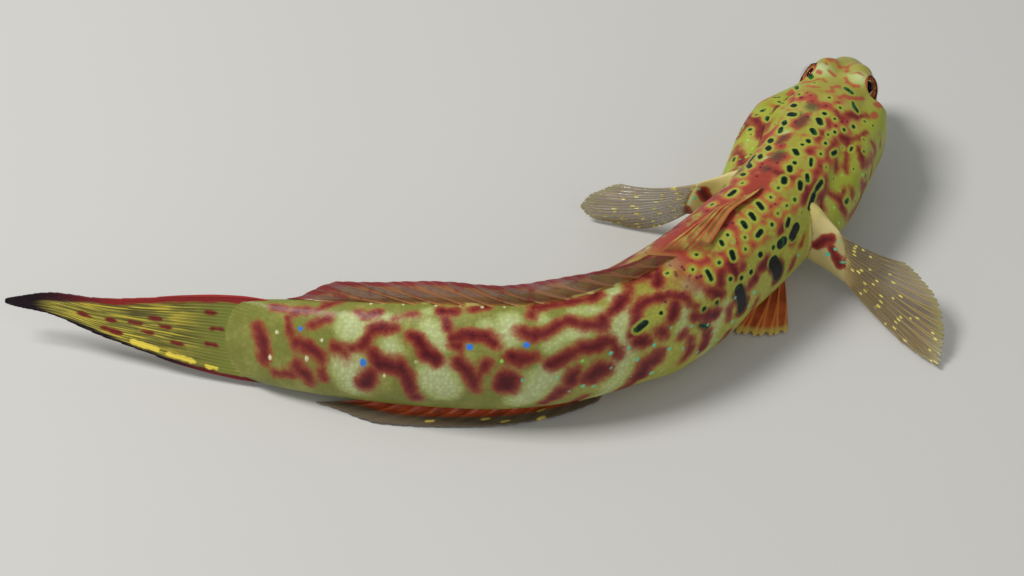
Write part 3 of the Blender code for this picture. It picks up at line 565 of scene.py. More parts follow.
ocelli = [ocellus_mark(*row_) for row_ in OCELLI]
ocelli += mirrored(ocelli, 44)
blotches = BLOTCHES + LEFT_BLOTCHES
blotches += mirrored([mark for mark in BLOTCHES if mark[1][0] > FLANK_START], 26)
pale_patches = PALE_PATCHES + mirrored(PALE_PATCHES, 10)
dots = np.column_stack([chance.uniform(14, 52, NET_DOTS), chance.uniform(-46, 40, NET_DOTS)])
free = flat_distance(*dots.T, ocelli, arc_of_degree) > DOT_CLEARANCE
SPOTS[PURPLE] += tuple(map(tuple, dots[free]))
glint, kind = np.full(len(station), FAR), np.zeros(len(station))
for colour, places in SPOTS.items():
    spots = tuple((SPOT_RADII[colour] * chance.uniform(0.7, 1.25), spot) for spot in places)
    distance = outside(spots + mirrored(spots, 40))
    kind = np.where(distance < glint, colour, kind)
    glint = np.minimum(glint, distance)
ocelli += CHEEK_OCELLI + mirrored(CHEEK_OCELLI, 60)
blotches += mirrored([mark for mark in BLOTCHES if mark[1][0] <= FLANK_START], 70)
reds = HEAD_REDS + CHEEK_REDS + mirrored(CHEEK_REDS, 60)
aside = np.abs(angle + 5)
on_nape = ease(12.5, 15, station) * (1 - ease(46, 52, station)) * (1 - ease(44, 58, aside))
eyes = EYE_PLACE * np.array([(1, 1, 1), (1, -1, 1)])
from_eye = np.min([np.linalg.norm(straight - eye, axis=1) for eye in eyes], axis=0)
from_root = np.hypot((station - 29.2) / 2.1, (straight[:, 2] - 0.1) / 4.1)
behind_cover = (row >= len(before) + 0.6 * FOLD_ROWS) * (np.abs(straight[:, 1]) > 3)
store(skin, {
    **NO_MARKS, "ocellus": outside(ocelli), "maroon": outside(blotches), "red": outside(reds),
    "pale": outside(pale_patches), "smoke": outside(SMOKE), "crease": groove, "glint": glint, "kind": kind,
    "dot": outside([(0.0, spot) for spot in SPOTS[PURPLE]]), "net": on_nape,
    "tone": np.clip(0.65 * ease(20, 36, station) + 0.6 * ease(18, 50, aside), 0, 1),
    "lobe": (1 - ease(0.85, 1.05, from_root)) * behind_cover,
    "rim": from_eye - EYE_RADIUS - SOCKET_CLEARANCE, "station": station,
    "arc": around * arc_of_degree(station),
    "belly": ease(118, 150, around) * (1 - ease(52, 70, station)),
})
MERGE = 1e-6  # in metres
bent = place(*straight.T)
bent[:, 2] = np.maximum(bent[:, 2], 0)
set_points(skin, bent)
clean_up(skin, MERGE)

# The fleshy base of each pectoral fin, a paddle that grows out behind the gill cover
LOBE_STATION = 29.4
LOBE_FLARE = 0.8  # how much further out its lower corner reaches than its middle
LOBE_CROWN = 0.35  # how far its rounded end stands past its length
LOBE_ROUNDING = 1.12  # the grid's length over the part of it before that end
LOBE_HALF_HEIGHTS = ((-0.5, 3.9), (0, 3.9), (0.3, 3.7), (0.7, 3.6), (0.9, 3.55), (1, 3.3))
LOBE_HALF_THICKNESSES = ((-0.5, 1.7), (0, 1.3), (0.3, 1.0), (0.6, 0.8), (0.85, 0.6), (1, 0.3))
# For the right lobe (1) and the left (-1): its length, its root's height, how much of those half
# heights it has, and how far it runs back, and down, for each millimetre out
LOBE_SHAPES = {1: (3.8, 0.0, 1.0, 0.0, 0.45), -1: (3.6, 0.5, 0.82, 0.75, 0.3)}
# Maroon blotches and pale green specks on each lobe, as half widths and points (outwards, height)
LOBE_BLOTCHES = {
    1: ((0.5, (0.75, -0.2), (1.7, 0.85), (2.6, 1.15)), (0.38, (2.6, 0.0), (3.2, -1.4), (3.45, -2.4))),
    -1: ((0.6, (2.4, 1.2), (1.7, 0.2)), (0.4, (3.6, -2.2), (3.2, -3.0))),
}
LOBE_SPECKS = {
    1: ((0.3, (2.15, -1.05)), (0.2, (3.1, -0.1)), (0.16, (3.7, -1.9)), (0.12, (3.5, 0.9))),
    -1: ((0.24, (3.1, 0)), (0.15, (2.95, 1.5)), (0.16, (3.5, -1.0))),
}


def pectoral_frame(out, mirror):
    """The station, side and height of the lobe's middle at a distance out from the body's side."""
    level, _, back, down = LOBE_SHAPES[mirror][1:]
    return LOBE_STATION + back * out, smooth(HALF_WIDTHS, LOBE_STATION) + out, level - down * out


lobes = []
for name, mirror in (("lobe_right", 1), ("lobe_left", -1)):
    lobe, along, across = grid(name, 26, 64)
    turn = 2 * np.pi * across
    share = -0.5 + 1.5 * np.clip(along * LOBE_ROUNDING, 0, 1)
    closing = np.clip((along - 1 / LOBE_ROUNDING) / (1 - 1 / LOBE_ROUNDING), 0, 1)
    length, _, tallness = LOBE_SHAPES[mirror][:3]
    far, aside, level = pectoral_frame(share * length, mirror)
    tall = tallness * smooth(LOBE_HALF_HEIGHTS, share) * (1 - closing)
    thick = smooth(LOBE_HALF_THICKNESSES, share) * (1 - closing)
    ends = along == 0
    tall[ends], thick[ends] = 0, 0
    crown = LOBE_CROWN * np.sqrt(np.clip(1 - (1 - closing) ** 2, 0, 1))
    aside = aside - np.clip(share, 0, None) * LOBE_FLARE * np.sin(turn) * (1 - closing)
    level = level + tall * np.sin(turn)
    blotched = flat_distance(share * length, level, LOBE_BLOTCHES[mirror])
    specked = flat_distance(share * length, level, LOBE_SPECKS[mirror])
    store(lobe, {**NO_MARKS, "lobe": 1.0, "maroon": blotched, "glint": specked, "kind": TURQUOISE})
    set_points(lobe, place(far + thick * np.cos(turn), mirror * (aside + crown * (closing > 0)), level))
    clean_up(lobe, 2 * MERGE)
    lobes.append(lobe)


def apply_modifier(piece, kind, **settings):
    change = piece.modifiers.new(kind.lower(), kind)
    for name, value in settings.items():
        setattr(change, name, value)
    select(piece)
    bpy.ops.object.modifier_apply(modifier=change.name)


def combine(target, pieces, operation):
    """Fuses pieces into a piece or cuts them out of it, and removes them."""
    group = bpy.data.collections.new("pieces")
    bpy.context.scene.collection.children.link(group)
    for piece in pieces:
        for holder in list(piece.users_collection):
            holder.objects.unlink(piece)
        group.objects.link(piece)
    apply_modifier(
        target, "BOOLEAN", operation=operation, operand_type="COLLECTION", collection=group, solver="MANIFOLD"
    )
    for piece in pieces:
        bpy.data.objects.remove(piece)
    bpy.data.collections.remove(group)


combine(skin, lobes, "UNION")

# The sockets of the eyes, the slit of the mouth, the nostrils' bores and the pores behind them.
# A bore or pore is given by its two ends, as (station, angle, distance out), and its radius.
OPENING_AHEAD, OPENING_RADIUS = 2.3, 1.72
HOLES = {
    "bore": ((2.9, 50, -0.1), (2.5, 50, 0.7), 0.1),
    "pore": ((4.5, 36, -0.5), (4.3, 36, 1.0), 0.15),
}
SLIT = 0.2
SLIT_OUT, SLIT_DEPTH = 1.2, 2.3
# Painted shade: these fields paint the walls of the mouth's slit, the nostrils' bores and the pores black
HOLLOW_SHADE = {**NO_MARKS, "ocellus": -0.5}  # the fields of a surface that is black all over


def cutter(name, fields):
    """The object that was added last, with its place, turn and size moved into its mesh."""
    piece, _ = newest(name)
    bpy.ops.object.transform_apply(location=True, rotation=True, scale=True)
    store(piece, fields)
    return piece


cutters = []
for mirror in (1, -1):
    opening = EYE_PLACE + OPENING_AHEAD * EYE_GAZES[mirror]
    for name, centre, radius in (
        ("socket", EYE_PLACE, EYE_RADIUS + SOCKET_CLEARANCE), ("opening", opening, OPENING_RADIUS),
    ):
        select()
        bpy.ops.mesh.primitive_uv_sphere_add(
            segments=64, ring_count=40, radius=MM * radius, location=MM * place(*(centre * (1, mirror, 1)))
        )
        cutters.append(cutter(name, {**NO_MARKS, "rim": 0.0}))
    for name, (*ends, radius) in HOLES.items():
        root, end = (Vector(place(*straight_skin(far, mirror * turn, out))) for far, turn, out in ends)
        select()
        bpy.ops.mesh.primitive_cylinder_add(
            vertices=20, radius=MM * radius, depth=MM * (end - root).length, location=MM * (root + end) / 2,
            rotation=(end - root).to_track_quat("Z", "Y").to_euler(),
        )
        # Each bore's and pore's walls are painted black, as painted shade inside them
        cutters.append(cutter(name, HOLLOW_SHADE))
line, outward = mouth_line()
blade, along, across = grid("slit", len(line) - 1, 1)
at = np.rint(along * (len(line) - 1)).astype(int)
set_points(blade, place(*(line[at] + outward[at] * (SLIT_OUT - SLIT_DEPTH * across)[:, None]).T))
apply_modifier(blade, "SOLIDIFY", thickness=MM * SLIT, offset=0)
# The slit's walls are painted black, as painted shade inside the mouth
store(blade, HOLLOW_SHADE)
combine(skin, [*cutters, blade], "DIFFERENCE")
clean_up(skin, MERGE)
bpy.ops.object.shade_smooth_by_angle(angle=np.radians(50))
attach(skin, "root")
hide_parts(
    "head", "gill_cover_left", "gill_cover_right", "trunk_front", "trunk_rear", "tail_stem",
    "pectoral_base_left", "pectoral_base_right",
)


class Look:
    """A material, with the colour and the cover that have been laid on it so far."""

    def __init__(self, name, settings):
        self.material = bpy.data.materials.new(name)
        self.material.use_nodes = True
        self.tree = self.material.node_tree
        self.shader = self.tree.nodes["Principled BSDF"]
        for socket, value in settings.items():
            self.shader.inputs[socket].default_value = value
        self.where = self.node("TexCoord").outputs["Object"]
        self.colour = self.cover = None

    def node(self, kind, inputs=(), **settings):
        """Adds a shader node. Its inputs are sockets, names of the piece's fields, or values."""
        made = self.tree.nodes.new("ShaderNode" + kind)
        for name, value in settings.items():
            setattr(made, name, value)
        for socket, value in inputs:
            if isinstance(value, str):
                value = self.node("Attribute", attribute_name=value).outputs["Fac"]
            if isinstance(value, bpy.types.NodeSocket):
                self.tree.links.new(value, made.inputs[socket])
            else:
                made.inputs[socket].default_value = (*value, 1) if np.ndim(value) else value
        return made

    def maths(self, operation, *values):
        return self.node("Math", enumerate(values), operation=operation).outputs[0]

    def add(self, first, *others):
        for other in others:
            first = self.maths("ADD", first, other)
        return first

    def times(self, first, second):
        return self.maths("MULTIPLY", first, second)

    def between(self, value, low, high):
        """0 where a value is at low, 1 where it is at high, with a smooth change between."""
        inputs = (("Value", value), ("From Min", low), ("From Max", high))
        return self.node("MapRange", inputs, interpolation_type="SMOOTHSTEP").outputs[0]

    def mix(self, share, under, over):
        """One colour over another."""
        return self.node("Mix", ((0, share), (6, under), (7, over)), data_type="RGBA").outputs[2]

    def lay(self, over, share, low=None, high=None, strength=1.0):
        """Lays a colour on by a share, or where a value goes from low to high, up to a strength."""
        if low is not None:
            share = self.between(share, low, high)
        if strength < 1:
            share = self.times(share, strength)
        self.colour = self.mix(share, self.colour, over)

    def noise(self, scale, detail=2.0, where=None):
        vector = self.where if where is None else where
        inputs = (("Vector", vector), ("Scale", scale), ("Detail", detail))
        return self.node("TexNoise", inputs).outputs[0]

    def waver(self, scale, size, where=None):
        """A random length about zero that moves the edges of marks."""
        return self.times(self.maths("SUBTRACT", self.noise(scale, where=where), 0.5), size)

    def finish(self, piece):
        """Gives the material to a piece."""
        for socket, value in (("Base Color", self.colour), ("Alpha", self.cover)):
            if value is not None:
                self.tree.links.new(value, self.shader.inputs[socket])
        piece.data.materials.clear()
        piece.data.materials.append(self.material)


NAPE, COVER, FLANK = (0.37, 0.33, 0.045), (0.34, 0.38, 0.03), (0.43, 0.44, 0.06)
STRAW, LIP_OLIVE = (0.50, 0.47, 0.13), (0.12, 0.15, 0.03)
REAR_OLIVE, REAR_PALE, PALE_HEART = (0.23, 0.25, 0.045), (0.50, 0.58, 0.20), (0.66, 0.72, 0.40)
CREAM_SKIN, LOBE_TAN, SCALE_EDGE = (0.68, 0.56, 0.24), (0.60, 0.50, 0.16), (0.16, 0.10, 0.02)
ORANGE, ROSE, NET_DARK = (0.47, 0.16, 0.035), (0.43, 0.075, 0.04), (0.28, 0.022, 0.018)
RED_EDGE, MAROON, MAROON_HEART = (0.36, 0.055, 0.03), (0.20, 0.016, 0.016), (0.09, 0.004, 0.009)
# The last colour on the next line is painted shade for the groove on the left gill cover
HEAD_RED, SMOKE_BROWN, CREASE_SHADE = (0.46, 0.075, 0.035), (0.08, 0.055, 0.028), (0.11, 0.018, 0.012)
BLACK, DEEP_GREEN, RING = (0.003, 0.005, 0.003), (0.012, 0.11, 0.022), (0.41, 0.42, 0.05)
PURPLE_BLACK, EYE_RIM = (0.006, 0.002, 0.007), (0.44, 0.10, 0.03)
# The small spots' colours, in the order purple, cream, lime, turquoise, blue
SPOT_COLOURS = (
    (0.13, 0.012, 0.035), (0.85, 0.80, 0.48), (0.32, 0.80, 0.10), (0.12, 0.75, 0.48), (0.05, 0.22, 0.72),
)

look = Look("skin", {
    "Roughness": 0.45, "Specular IOR Level": 0.22, "Coat Weight": 0.07, "Coat Roughness": 0.2,
    "Subsurface Weight": 0.06, "Subsurface Scale": 0.001,
})
coarse, edge, grain = look.waver(520, 1.1), look.waver(1500, 0.5), look.waver(4000, 0.3)
jitter = look.add(coarse, edge, grain)
look.colour = NAPE
look.lay(COVER, "arc", 3.5, 6.5)
look.lay(FLANK, look.times(look.between("station", 26, 34), look.between("arc", 2.5, 5.5)))
look.lay(REAR_OLIVE, "station", 50, 66)
uneven = look.between(look.noise(300), 0.4, 0.75)
look.lay(STRAW, uneven, strength=0.5)
patch = look.add("pale", jitter)
look.lay(REAR_PALE, patch, 0.6, -0.5, 0.85)
look.lay(PALE_HEART, patch, 0.0, -1.5, 0.6)
look.lay(CREAM_SKIN, "belly", strength=0.8)
look.lay(LIP_OLIVE, "station", 2.2, 0.8, 0.7)
# Fine scales, which start behind the head
scale_rows = look.node("CombineXYZ", ((0, "station"), (1, "arc"))).outputs[0]
scales = look.node("TexVoronoi", (("Vector", scale_rows), ("Scale", 2.4), ("Randomness", 0.8)))
scales = scales.outputs["Distance"]
scaled = look.between("station", 24, 34)
look.lay(SCALE_EDGE, look.times(scaled, look.between(scales, 0.25, 0.7)), strength=0.22)
# The net, golden round each ocellus, then orange, then rose, and darker on the sides
away = look.add("ocellus", look.times(jitter, 0.6))
round_dots = look.between(look.add("dot", jitter), 0.95, 0.45)
thicker = look.times(look.between("station", 25, 33), 0.1)
cloudy = look.between(look.add(look.noise(420), thicker), 0.44, 0.56)
covered = look.times("net", look.maths("MAXIMUM", round_dots, cloudy))
warm = look.mix(look.between(away, 0.5, 0.9), ORANGE, ROSE)
darker = look.times("tone", look.between(away, 0.6, 1.1))
warm = look.mix(look.times(darker, 0.8), warm, NET_DARK)
look.lay(warm, look.times(look.between(away, 0.25, 0.6), covered))
# The blotches, red at their edges and nearly black inside
blotch = look.add("maroon", jitter, look.waver(230, 0.9))
look.lay(RED_EDGE, blotch, 0.55, -0.15, 0.8)
look.lay(MAROON, blotch, 0.2, -0.5, 0.95)
look.lay(MAROON_HEART, blotch, -0.3, -1.0)
look.lay(HEAD_RED, look.add("red", edge), 0.2, -0.2, 0.9)
look.lay(SMOKE_BROWN, look.add("smoke", jitter), 0.45, -0.7, 0.8)
# Painted shade: dark red along the groove on top of the left gill cover
look.lay(CREASE_SHADE, "crease", 0.2, 0.02)
# The lobes of the pectoral fins
look.lay(look.mix(uneven, CREAM_SKIN, LOBE_TAN), "lobe")
on_lobe = look.add("maroon", look.times(edge, 0.7))
for inner, outer, tint in ((0.05, 0.4, RED_EDGE), (-0.3, 0.12, MAROON), (-0.6, -0.25, MAROON_HEART)):
    look.lay(tint, look.times("lobe", look.between(on_lobe, outer, inner)))
# The ocelli, the small bright spots and the red rims of the eyes
look.lay(RING, look.add("ocellus", look.times(edge, 0.4)), 0.44, 0.2, 0.75)
greener = look.add(look.noise(1100), look.times(look.between("station", 17.5, 14.5), 0.1))
heart_colour = look.mix(look.between(greener, 0.52, 0.7), BLACK, DEEP_GREEN)
# Low on the side behind the gill cover the ocelli get purple-black hearts in maroon; the long ones there also
# paint the shadow along the gill cover's edge and the lobe
low_down = look.times(look.between("arc", 7.2, 8.4), look.between("station", 31, 33))
heart_colour = look.mix(low_down, heart_colour, PURPLE_BLACK)
core = look.add("ocellus", look.times(look.add(edge, grain), 0.3))
look.lay(MAROON, look.times(low_down, look.between(look.add(core, coarse), 0.75, 0.1)))
look.lay(DEEP_GREEN, core, 0.09, -0.01)
look.lay(heart_colour, core, -0.01, -0.09)
ramp = look.node("ValToRGB", (("Fac", "kind"),))
ramp.color_ramp.interpolation = "CONSTANT"
stops = ramp.color_ramp.elements
for index, spot_colour in enumerate(SPOT_COLOURS):
    at = index / len(SPOT_COLOURS)
    stop = stops[index] if index < 2 else stops.new(at)
    stop.position, stop.color = at, (*spot_colour, 1)
# The small spots; the cream ones along the ridge are painted highlights
look.lay(ramp.outputs["Color"], "glint", 0.13, -0.06)
look.lay(EYE_RIM, "rim", 0.08, 0.02)
relief = look.add(look.times(scales, scaled), look.times(look.noise(1500), 0.7))
bump = look.node("Bump", (("Strength", 0.35), ("Distance", 0.0001), ("Height", relief)))
look.tree.links.new(bump.outputs["Normal"], look.shader.inputs["Normal"])
look.finish(skin)

# The eyes. Each is a ball whose front is dished: a black lens stands out of the pupil in a bowl of
# orange iris with a thin gold ring, under a clear cornea. They sit free in their sockets.
PUPIL, IRIS_EDGE, IRIS_DEPTH = 0.72, 1.34, 0.78
PUPIL_RISE = 0.24  # how far the pupil lies above the middle of the iris
FRONT_ANGLES = (0, 14, 28, 30, 46, 50)
FRONT_RADII = (0, 0.56, PUPIL, PUPIL + 0.06, IRIS_EDGE - 0.06, IRIS_EDGE)
FRONT_LEVELS = (1.18, 1.06, IRIS_DEPTH, IRIS_DEPTH - 0.02, 1.03, 1.125)
CORNEA_ANGLE, CORNEA_GAP, CORNEA_THICKNESS = 57, 0.04, 0.05
IRIS_BROWN, IRIS_ORANGE, IRIS_RIM = (0.34, 0.08, 0.02), (0.62, 0.20, 0.05), (0.06, 0.012, 0.01)
IRIS_GOLD, PUPIL_BLACK = (0.90, 0.72, 0.42), (0.002, 0.002, 0.003)


def gaze_axes(mirror):
    """An eye's centre and its three axes, of which the last is its gaze, on the bent fish."""
    centre = place(*(EYE_PLACE * (1, mirror, 1)))
    ahead = place(*((EYE_PLACE + 0.5 * EYE_GAZES[mirror]) * (1, mirror, 1))) - centre
    ahead /= np.linalg.norm(ahead)
    first = np.cross(ahead, (0.0, 0.0, 1.0))
    first /= np.linalg.norm(first)
    return centre, np.stack([first, np.cross(ahead, first), ahead])


iris = Look("eye", {"Roughness": 0.15, "Specular IOR Level": 0.04})
from_middle = iris.add("rho", iris.waver(3000, 0.05))
iris.colour = IRIS_BROWN
iris.lay(IRIS_ORANGE, iris.noise(2600, 4.0), 0.42, 0.62)
iris.lay(IRIS_RIM, from_middle, 1.2, 1.33)
iris.lay(IRIS_GOLD, from_middle, 0.9, 0.82)
iris.lay(PUPIL_BLACK, from_middle, PUPIL + 0.04, PUPIL)
clear = Look("cornea", {
    "Base Color": (0, 0, 0, 1), "Roughness": 0.03, "Specular IOR Level": 0.3, "Alpha": 0.06,
})
for name, node, mirror in (("right", "eye_right", 1), ("left", "eye_left", -1)):
    centre, axes = gaze_axes(mirror)
    select()
    bpy.ops.mesh.primitive_uv_sphere_add(segments=80, ring_count=90, radius=1)
    eye, unit = newest(name + "_eyeball")
    polar = np.degrees(np.arccos(np.clip(unit[:, 2], -1, 1)))
    wide = np.hypot(unit[:, 0], unit[:, 1])
    front = polar <= FRONT_ANGLES[-1]
    rho = np.where(front, np.interp(polar, FRONT_ANGLES, FRONT_RADII), EYE_RADIUS * wide)
    level = np.where(front, np.interp(polar, FRONT_ANGLES, FRONT_LEVELS), EYE_RADIUS * unit[:, 2])
    spread = (rho / np.maximum(wide, 1e-6))[:, None] * unit[:, :2]
    spread[:, 1] -= PUPIL_RISE * front * (1 - (rho / IRIS_EDGE) ** 2)
    store(eye, {"rho": rho})
    set_points(eye, centre + np.column_stack([spread, level]) @ axes)
    bpy.ops.object.shade_smooth()
    iris.finish(eye)
    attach(eye, "root")
    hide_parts(node)

    cornea, along, across = grid(name + "_cornea", 24, 72)
    tilt = np.radians(CORNEA_ANGLE) * along
    turn = 2 * np.pi * across
    dome = np.column_stack([np.sin(tilt) * np.cos(turn), np.sin(tilt) * np.sin(turn), np.cos(tilt)])
    set_points(cornea, centre + (EYE_RADIUS + CORNEA_GAP) * dome @ axes)
    clean_up(cornea, MERGE)
    apply_modifier(cornea, "SOLIDIFY", thickness=MM * CORNEA_THICKNESS, offset=0)
    clear.finish(cornea)
    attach(cornea, "root")

# The pectoral fins. Each is a smoky, see-through web over fine branching rays with yellow dashes.
# Its rays come out of the fleshy lobe, and its lower end lies just over the floor.
RIGHT_RAY_LENGTHS = ((0, 7.2), (0.25, 10.9), (0.5, 13.8), (0.75, 14.7), (1, 8.6))
LEFT_RAY_LENGTHS = ((0, 9.7), (0.25, 12.6), (0.5, 13.9), (0.75, 11.3), (1, 6.0))
RIGHT_RAY_TURNS = ((0, -17), (0.25, -8), (0.5, 3), (0.75, 10), (1, 12))
LEFT_RAY_TURNS = ((0, 20), (0.25, 25), (0.5, 28), (0.75, 29), (1, 29))
RAY_END_LEVELS = ((0, 6.3), (0.25, 4.4), (0.5, 2.2), (0.75, 0.7), (1, 0.45))
ROOT_SINK = 0.4  # how far inside the lobe the rays start
FLOOR_CLEARANCE = 0.12
FORK_START = 0.45  # where the rays begin to fork, as a share along them
DASH_HALF_WIDTH = 0.085
SMOKY_WEB, SMOKY_RAY, FIN_CREAM = (0.22, 0.14, 0.04), (0.38, 0.26, 0.07), (0.50, 0.36, 0.13)
OLIVE_EDGE, YELLOW_DASH = (0.32, 0.26, 0.05), (0.85, 0.72, 0.16)


def ray_profile(t, v, spread, width):
    """How much of a ray there is at t, counted in rays, and at v along them. Rays fork once."""
    fork = spread * ease(FORK_START, 1.0, v)
    off = np.abs(np.abs(t - np.rint(t)) - fork)
    return np.exp(-((off / width) ** 2))


def over_floor(points):
    return np.maximum(points, (-np.inf, -np.inf, FLOOR_CLEARANCE))


def fin(
    name, node, rays, shape, rows=40, spread=0.2, width=0.13, scallop=0.05, thick=0.45, thin=0.15, rise=0.02,
    marks=(),
):
    """A webbed fin. Shape gives the straight fish's point at a share across the fin and along a ray."""
    piece, v, u = grid(name, rows, 8 * (rays - 1))
    t = u * (rays - 1)
    tip = ray_profile(t, 1.0, spread, 2 * width)
    ray = ray_profile(t, v, spread, width)
    reach = v * (1 - scallop * (1 - tip))
    straight = shape(u, reach)
    bent = over_floor(place(*straight))
    set_points(piece, bent)
    fields = {"ray": ray, "along": reach, "across": u, "station": straight[0]}
    for kind, lines in dict(marks).items():
        fields[kind] = np.full(len(u), FAR)
        for half_width, *line in lines:
            for start, end in stretches(over_floor(place(*shape(*np.array(line, float).T)))):
                fields[kind] = np.minimum(fields[kind], stroke(bent, start, end) - half_width)
    store(piece, fields)
    weights = piece.vertex_groups.new(name="thick")
    for index, weight in enumerate(ray * ease(0, rise, v) * (1 - 0.6 * v)):
        weights.add([index], float(weight), "REPLACE")
    apply_modifier(
        piece, "SOLIDIFY", thickness=MM * thick, offset=0, vertex_group="thick",
        thickness_vertex_group=thin / thick,
    )
    bpy.ops.object.shade_smooth_by_angle(angle=np.radians(60))
    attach(piece, "root")
    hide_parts(node)
    return piece


def fin_look(name, web, ray, web_cover, ray_cover=1.0):
    """A mottled web with rays of another colour. The caller may lay more on it."""
    look = Look(name, {"Roughness": 0.35, "Coat Weight": 0.2})
    rays = look.between("ray", 0.25, 0.75)
    look.colour = web
    look.lay([0.6 * part for part in web], look.noise(500), 0.35, 0.65)
    look.lay(ray, rays)
    inputs = (("Value", rays), ("To Min", web_cover), ("To Max", ray_cover))
    look.cover = look.node("MapRange", inputs).outputs[0]
    return look


# Where the dashes start, as shares across the fin from its upper edge and along its rays
RIGHT_DASHES = (
    (0.04, 0.25), (0.05, 0.34), (0.1, 0.2), (0.17, 0.17), (0.25, 0.15), (0.11, 0.4), (0.33, 0.3),
    (0.42, 0.2), (0.56, 0.1), (0.49, 0.16), (0.59, 0.22), (0.41, 0.35), (0.49, 0.31), (0.71, 0.22),
    (0.87, 0.21), (0.56, 0.38), (0.63, 0.38), (0.73, 0.36), (0.83, 0.36), (0.24, 0.54), (0.32, 0.53),
    (0.47, 0.5), (0.4, 0.58), (0.6, 0.58), (0.64, 0.56), (0.7, 0.54), (0.54, 0.67), (0.49, 0.73),
    (0.93, 0.61), (0.85, 0.59), (0.88, 0.77), (0.53, 0.88), (0.56, 0.91), (0.66, 0.88), (0.75, 0.95),
    (0.81, 0.96),
)
LEFT_DASHES = (
    (0.06, 0.07), (0.11, 0.07), (0.27, 0.14), (0.37, 0.13), (0.61, 0.07), (0.56, 0.19), (0.68, 0.16),
    (0.86, 0.14), (0.93, 0.19), (0.03, 0.32), (0.02, 0.3), (0.06, 0.27), (0.17, 0.21), (0.41, 0.17),
    (0.2, 0.34), (0.33, 0.29), (0.38, 0.33), (0.55, 0.33), (0.65, 0.31), (0.68, 0.29), (0.22, 0.58),
    (0.42, 0.53), (0.49, 0.48), (0.61, 0.49), (0.65, 0.48), (0.74, 0.48), (0.87, 0.46), (0.87, 0.68),
    (0.94, 0.77), (0.31, 0.66), (0.48, 0.68), (0.56, 0.68), (0.64, 0.8), (0.66, 0.66), (0.7, 0.66),
    (0.84, 0.86), (0.83, 0.95), (0.98, 0.59), (0.97, 0.36), (0.99, 0.5),
)
for name, node, mirror, lengths, turns, places in (
    ("right_pectoral", "pectoral_fin_right", 1, RIGHT_RAY_LENGTHS, RIGHT_RAY_TURNS, RIGHT_DASHES),
    ("left_pectoral", "pectoral_fin_left", -1, LEFT_RAY_LENGTHS, LEFT_RAY_TURNS, LEFT_DASHES),
):

    def fan(u, v):
        lobe_length, _, tallness = LOBE_SHAPES[mirror][:3]
        far, aside, level = pectoral_frame(lobe_length - ROOT_SINK, mirror)
        turn = np.radians(smooth(turns, u))
        length = (smooth(lengths, u) + ROOT_SINK) * v
        far = far + length * np.sin(turn)
        aside = aside + LOBE_FLARE * (2 * u - 1) + length * np.cos(turn)
        root = level + 3.2 * tallness * (1 - 2 * u)
        end = smooth(RAY_END_LEVELS, u) - smooth(AXIS_HEIGHTS, far)
        return far, mirror * aside, root + (end - root) * (1 - (1 - v) ** 1.6) + 0.12 * np.sin(25 * u) * v

    dashes = []
    for u, v in places:
        stop = min(v + chance.uniform(0.015, 0.035), 0.98)
        dashes.append((DASH_HALF_WIDTH, (u, v), (u, stop)))
    piece = fin(name, node, 17, fan, rows=80, marks={"dash": dashes})
    look = fin_look(name, SMOKY_WEB, SMOKY_RAY, 0.44, 0.66)
    base = look.between(look.add("along", look.waver(900, 0.1)), 0.15, 0.04)
    look.lay(FIN_CREAM, base)
    look.lay(OLIVE_EDGE, "along", 0.85, 0.98)
    dash = look.between("dash", 0.07, -0.05)
    look.lay(YELLOW_DASH, dash)
    look.cover = look.maths("MAXIMUM", look.maths("MAXIMUM", look.cover, base), dash)
    look.finish(piece)

# The pelvic fins, which have grown together into one cup under the breast, orange-red with gold
# tips. Only the cup's edge shows, to the right of the breast.
CUP_RED, CUP_RAY, CUP_GOLD = (0.68, 0.13, 0.04), (0.80, 0.24, 0.06), (0.75, 0.52, 0.12)


def cup(u, v):
    turn = np.radians(-40 + 80 * u)
    length = v * (12.0 - 2.5 * (2 * u - 1) ** 2)
    far = 29.6 + length * np.cos(turn)
    side = 2.2 * (2 * u - 1) + length * np.sin(turn)
    return far, side, 0.85 - 0.5 * ease(0, 0.4, v) - smooth(AXIS_HEIGHTS, far)


piece = fin("pelvic_cup", "pelvic_fin", 12, cup, scallop=0.08)
look = fin_look("pelvic_cup", CUP_RED, CUP_RAY, 0.9)
look.lay(CUP_GOLD, "along", 0.86, 0.95)
look.finish(piece)

# The first dorsal fin, which lies folded back along the back and over to the left, in orange-brown
# with redder spines. Its web is wrinkled, and grows out of the ridge of the back.
DORSAL_ORANGE, DORSAL_SPINE, SPINE_RED = (0.50, 0.22, 0.05), (0.55, 0.09, 0.025), (0.52, 0.07, 0.02)
DORSAL_OLIVE, DORSAL_ROOT = (0.48, 0.38, 0.08), (0.28, 0.17, 0.05)


def folded(u, v):
    far = 31.8 + 7.8 * u + (13.5 - 4.5 * u) * v
    side = (3.8 - 3.8 * u) * v**1.15 - 1.7 * ease(32.5, 39, far)
    share = np.abs(side) / smooth(HALF_WIDTHS, far)
    height = smooth(RISES, far) * (1 - share**ROUNDNESS) ** (1 / ROUNDNESS)
    wrinkle = (0.25 + 0.12 * np.sin(30 * u)) * np.sin(np.pi * v)
    return far, side, height - 0.1 + 0.4 * ease(0, 0.1, v) + wrinkle


piece = fin(
    "first_dorsal", "dorsal_fin_first", 8, folded, rows=60, spread=0, width=0.14, thick=0.27, thin=0.12
)
look = fin_look("first_dorsal", DORSAL_ORANGE, DORSAL_SPINE, 0.9)
look.lay(DORSAL_OLIVE, look.noise(420), 0.5, 0.62)
look.lay(SPINE_RED, "ray", 0.35, 0.7)
look.lay(DORSAL_ROOT, "along", 0.14, 0.0)
look.cover = look.times(look.cover, look.between("along", 1.0, 0.74))
look.finish(piece)

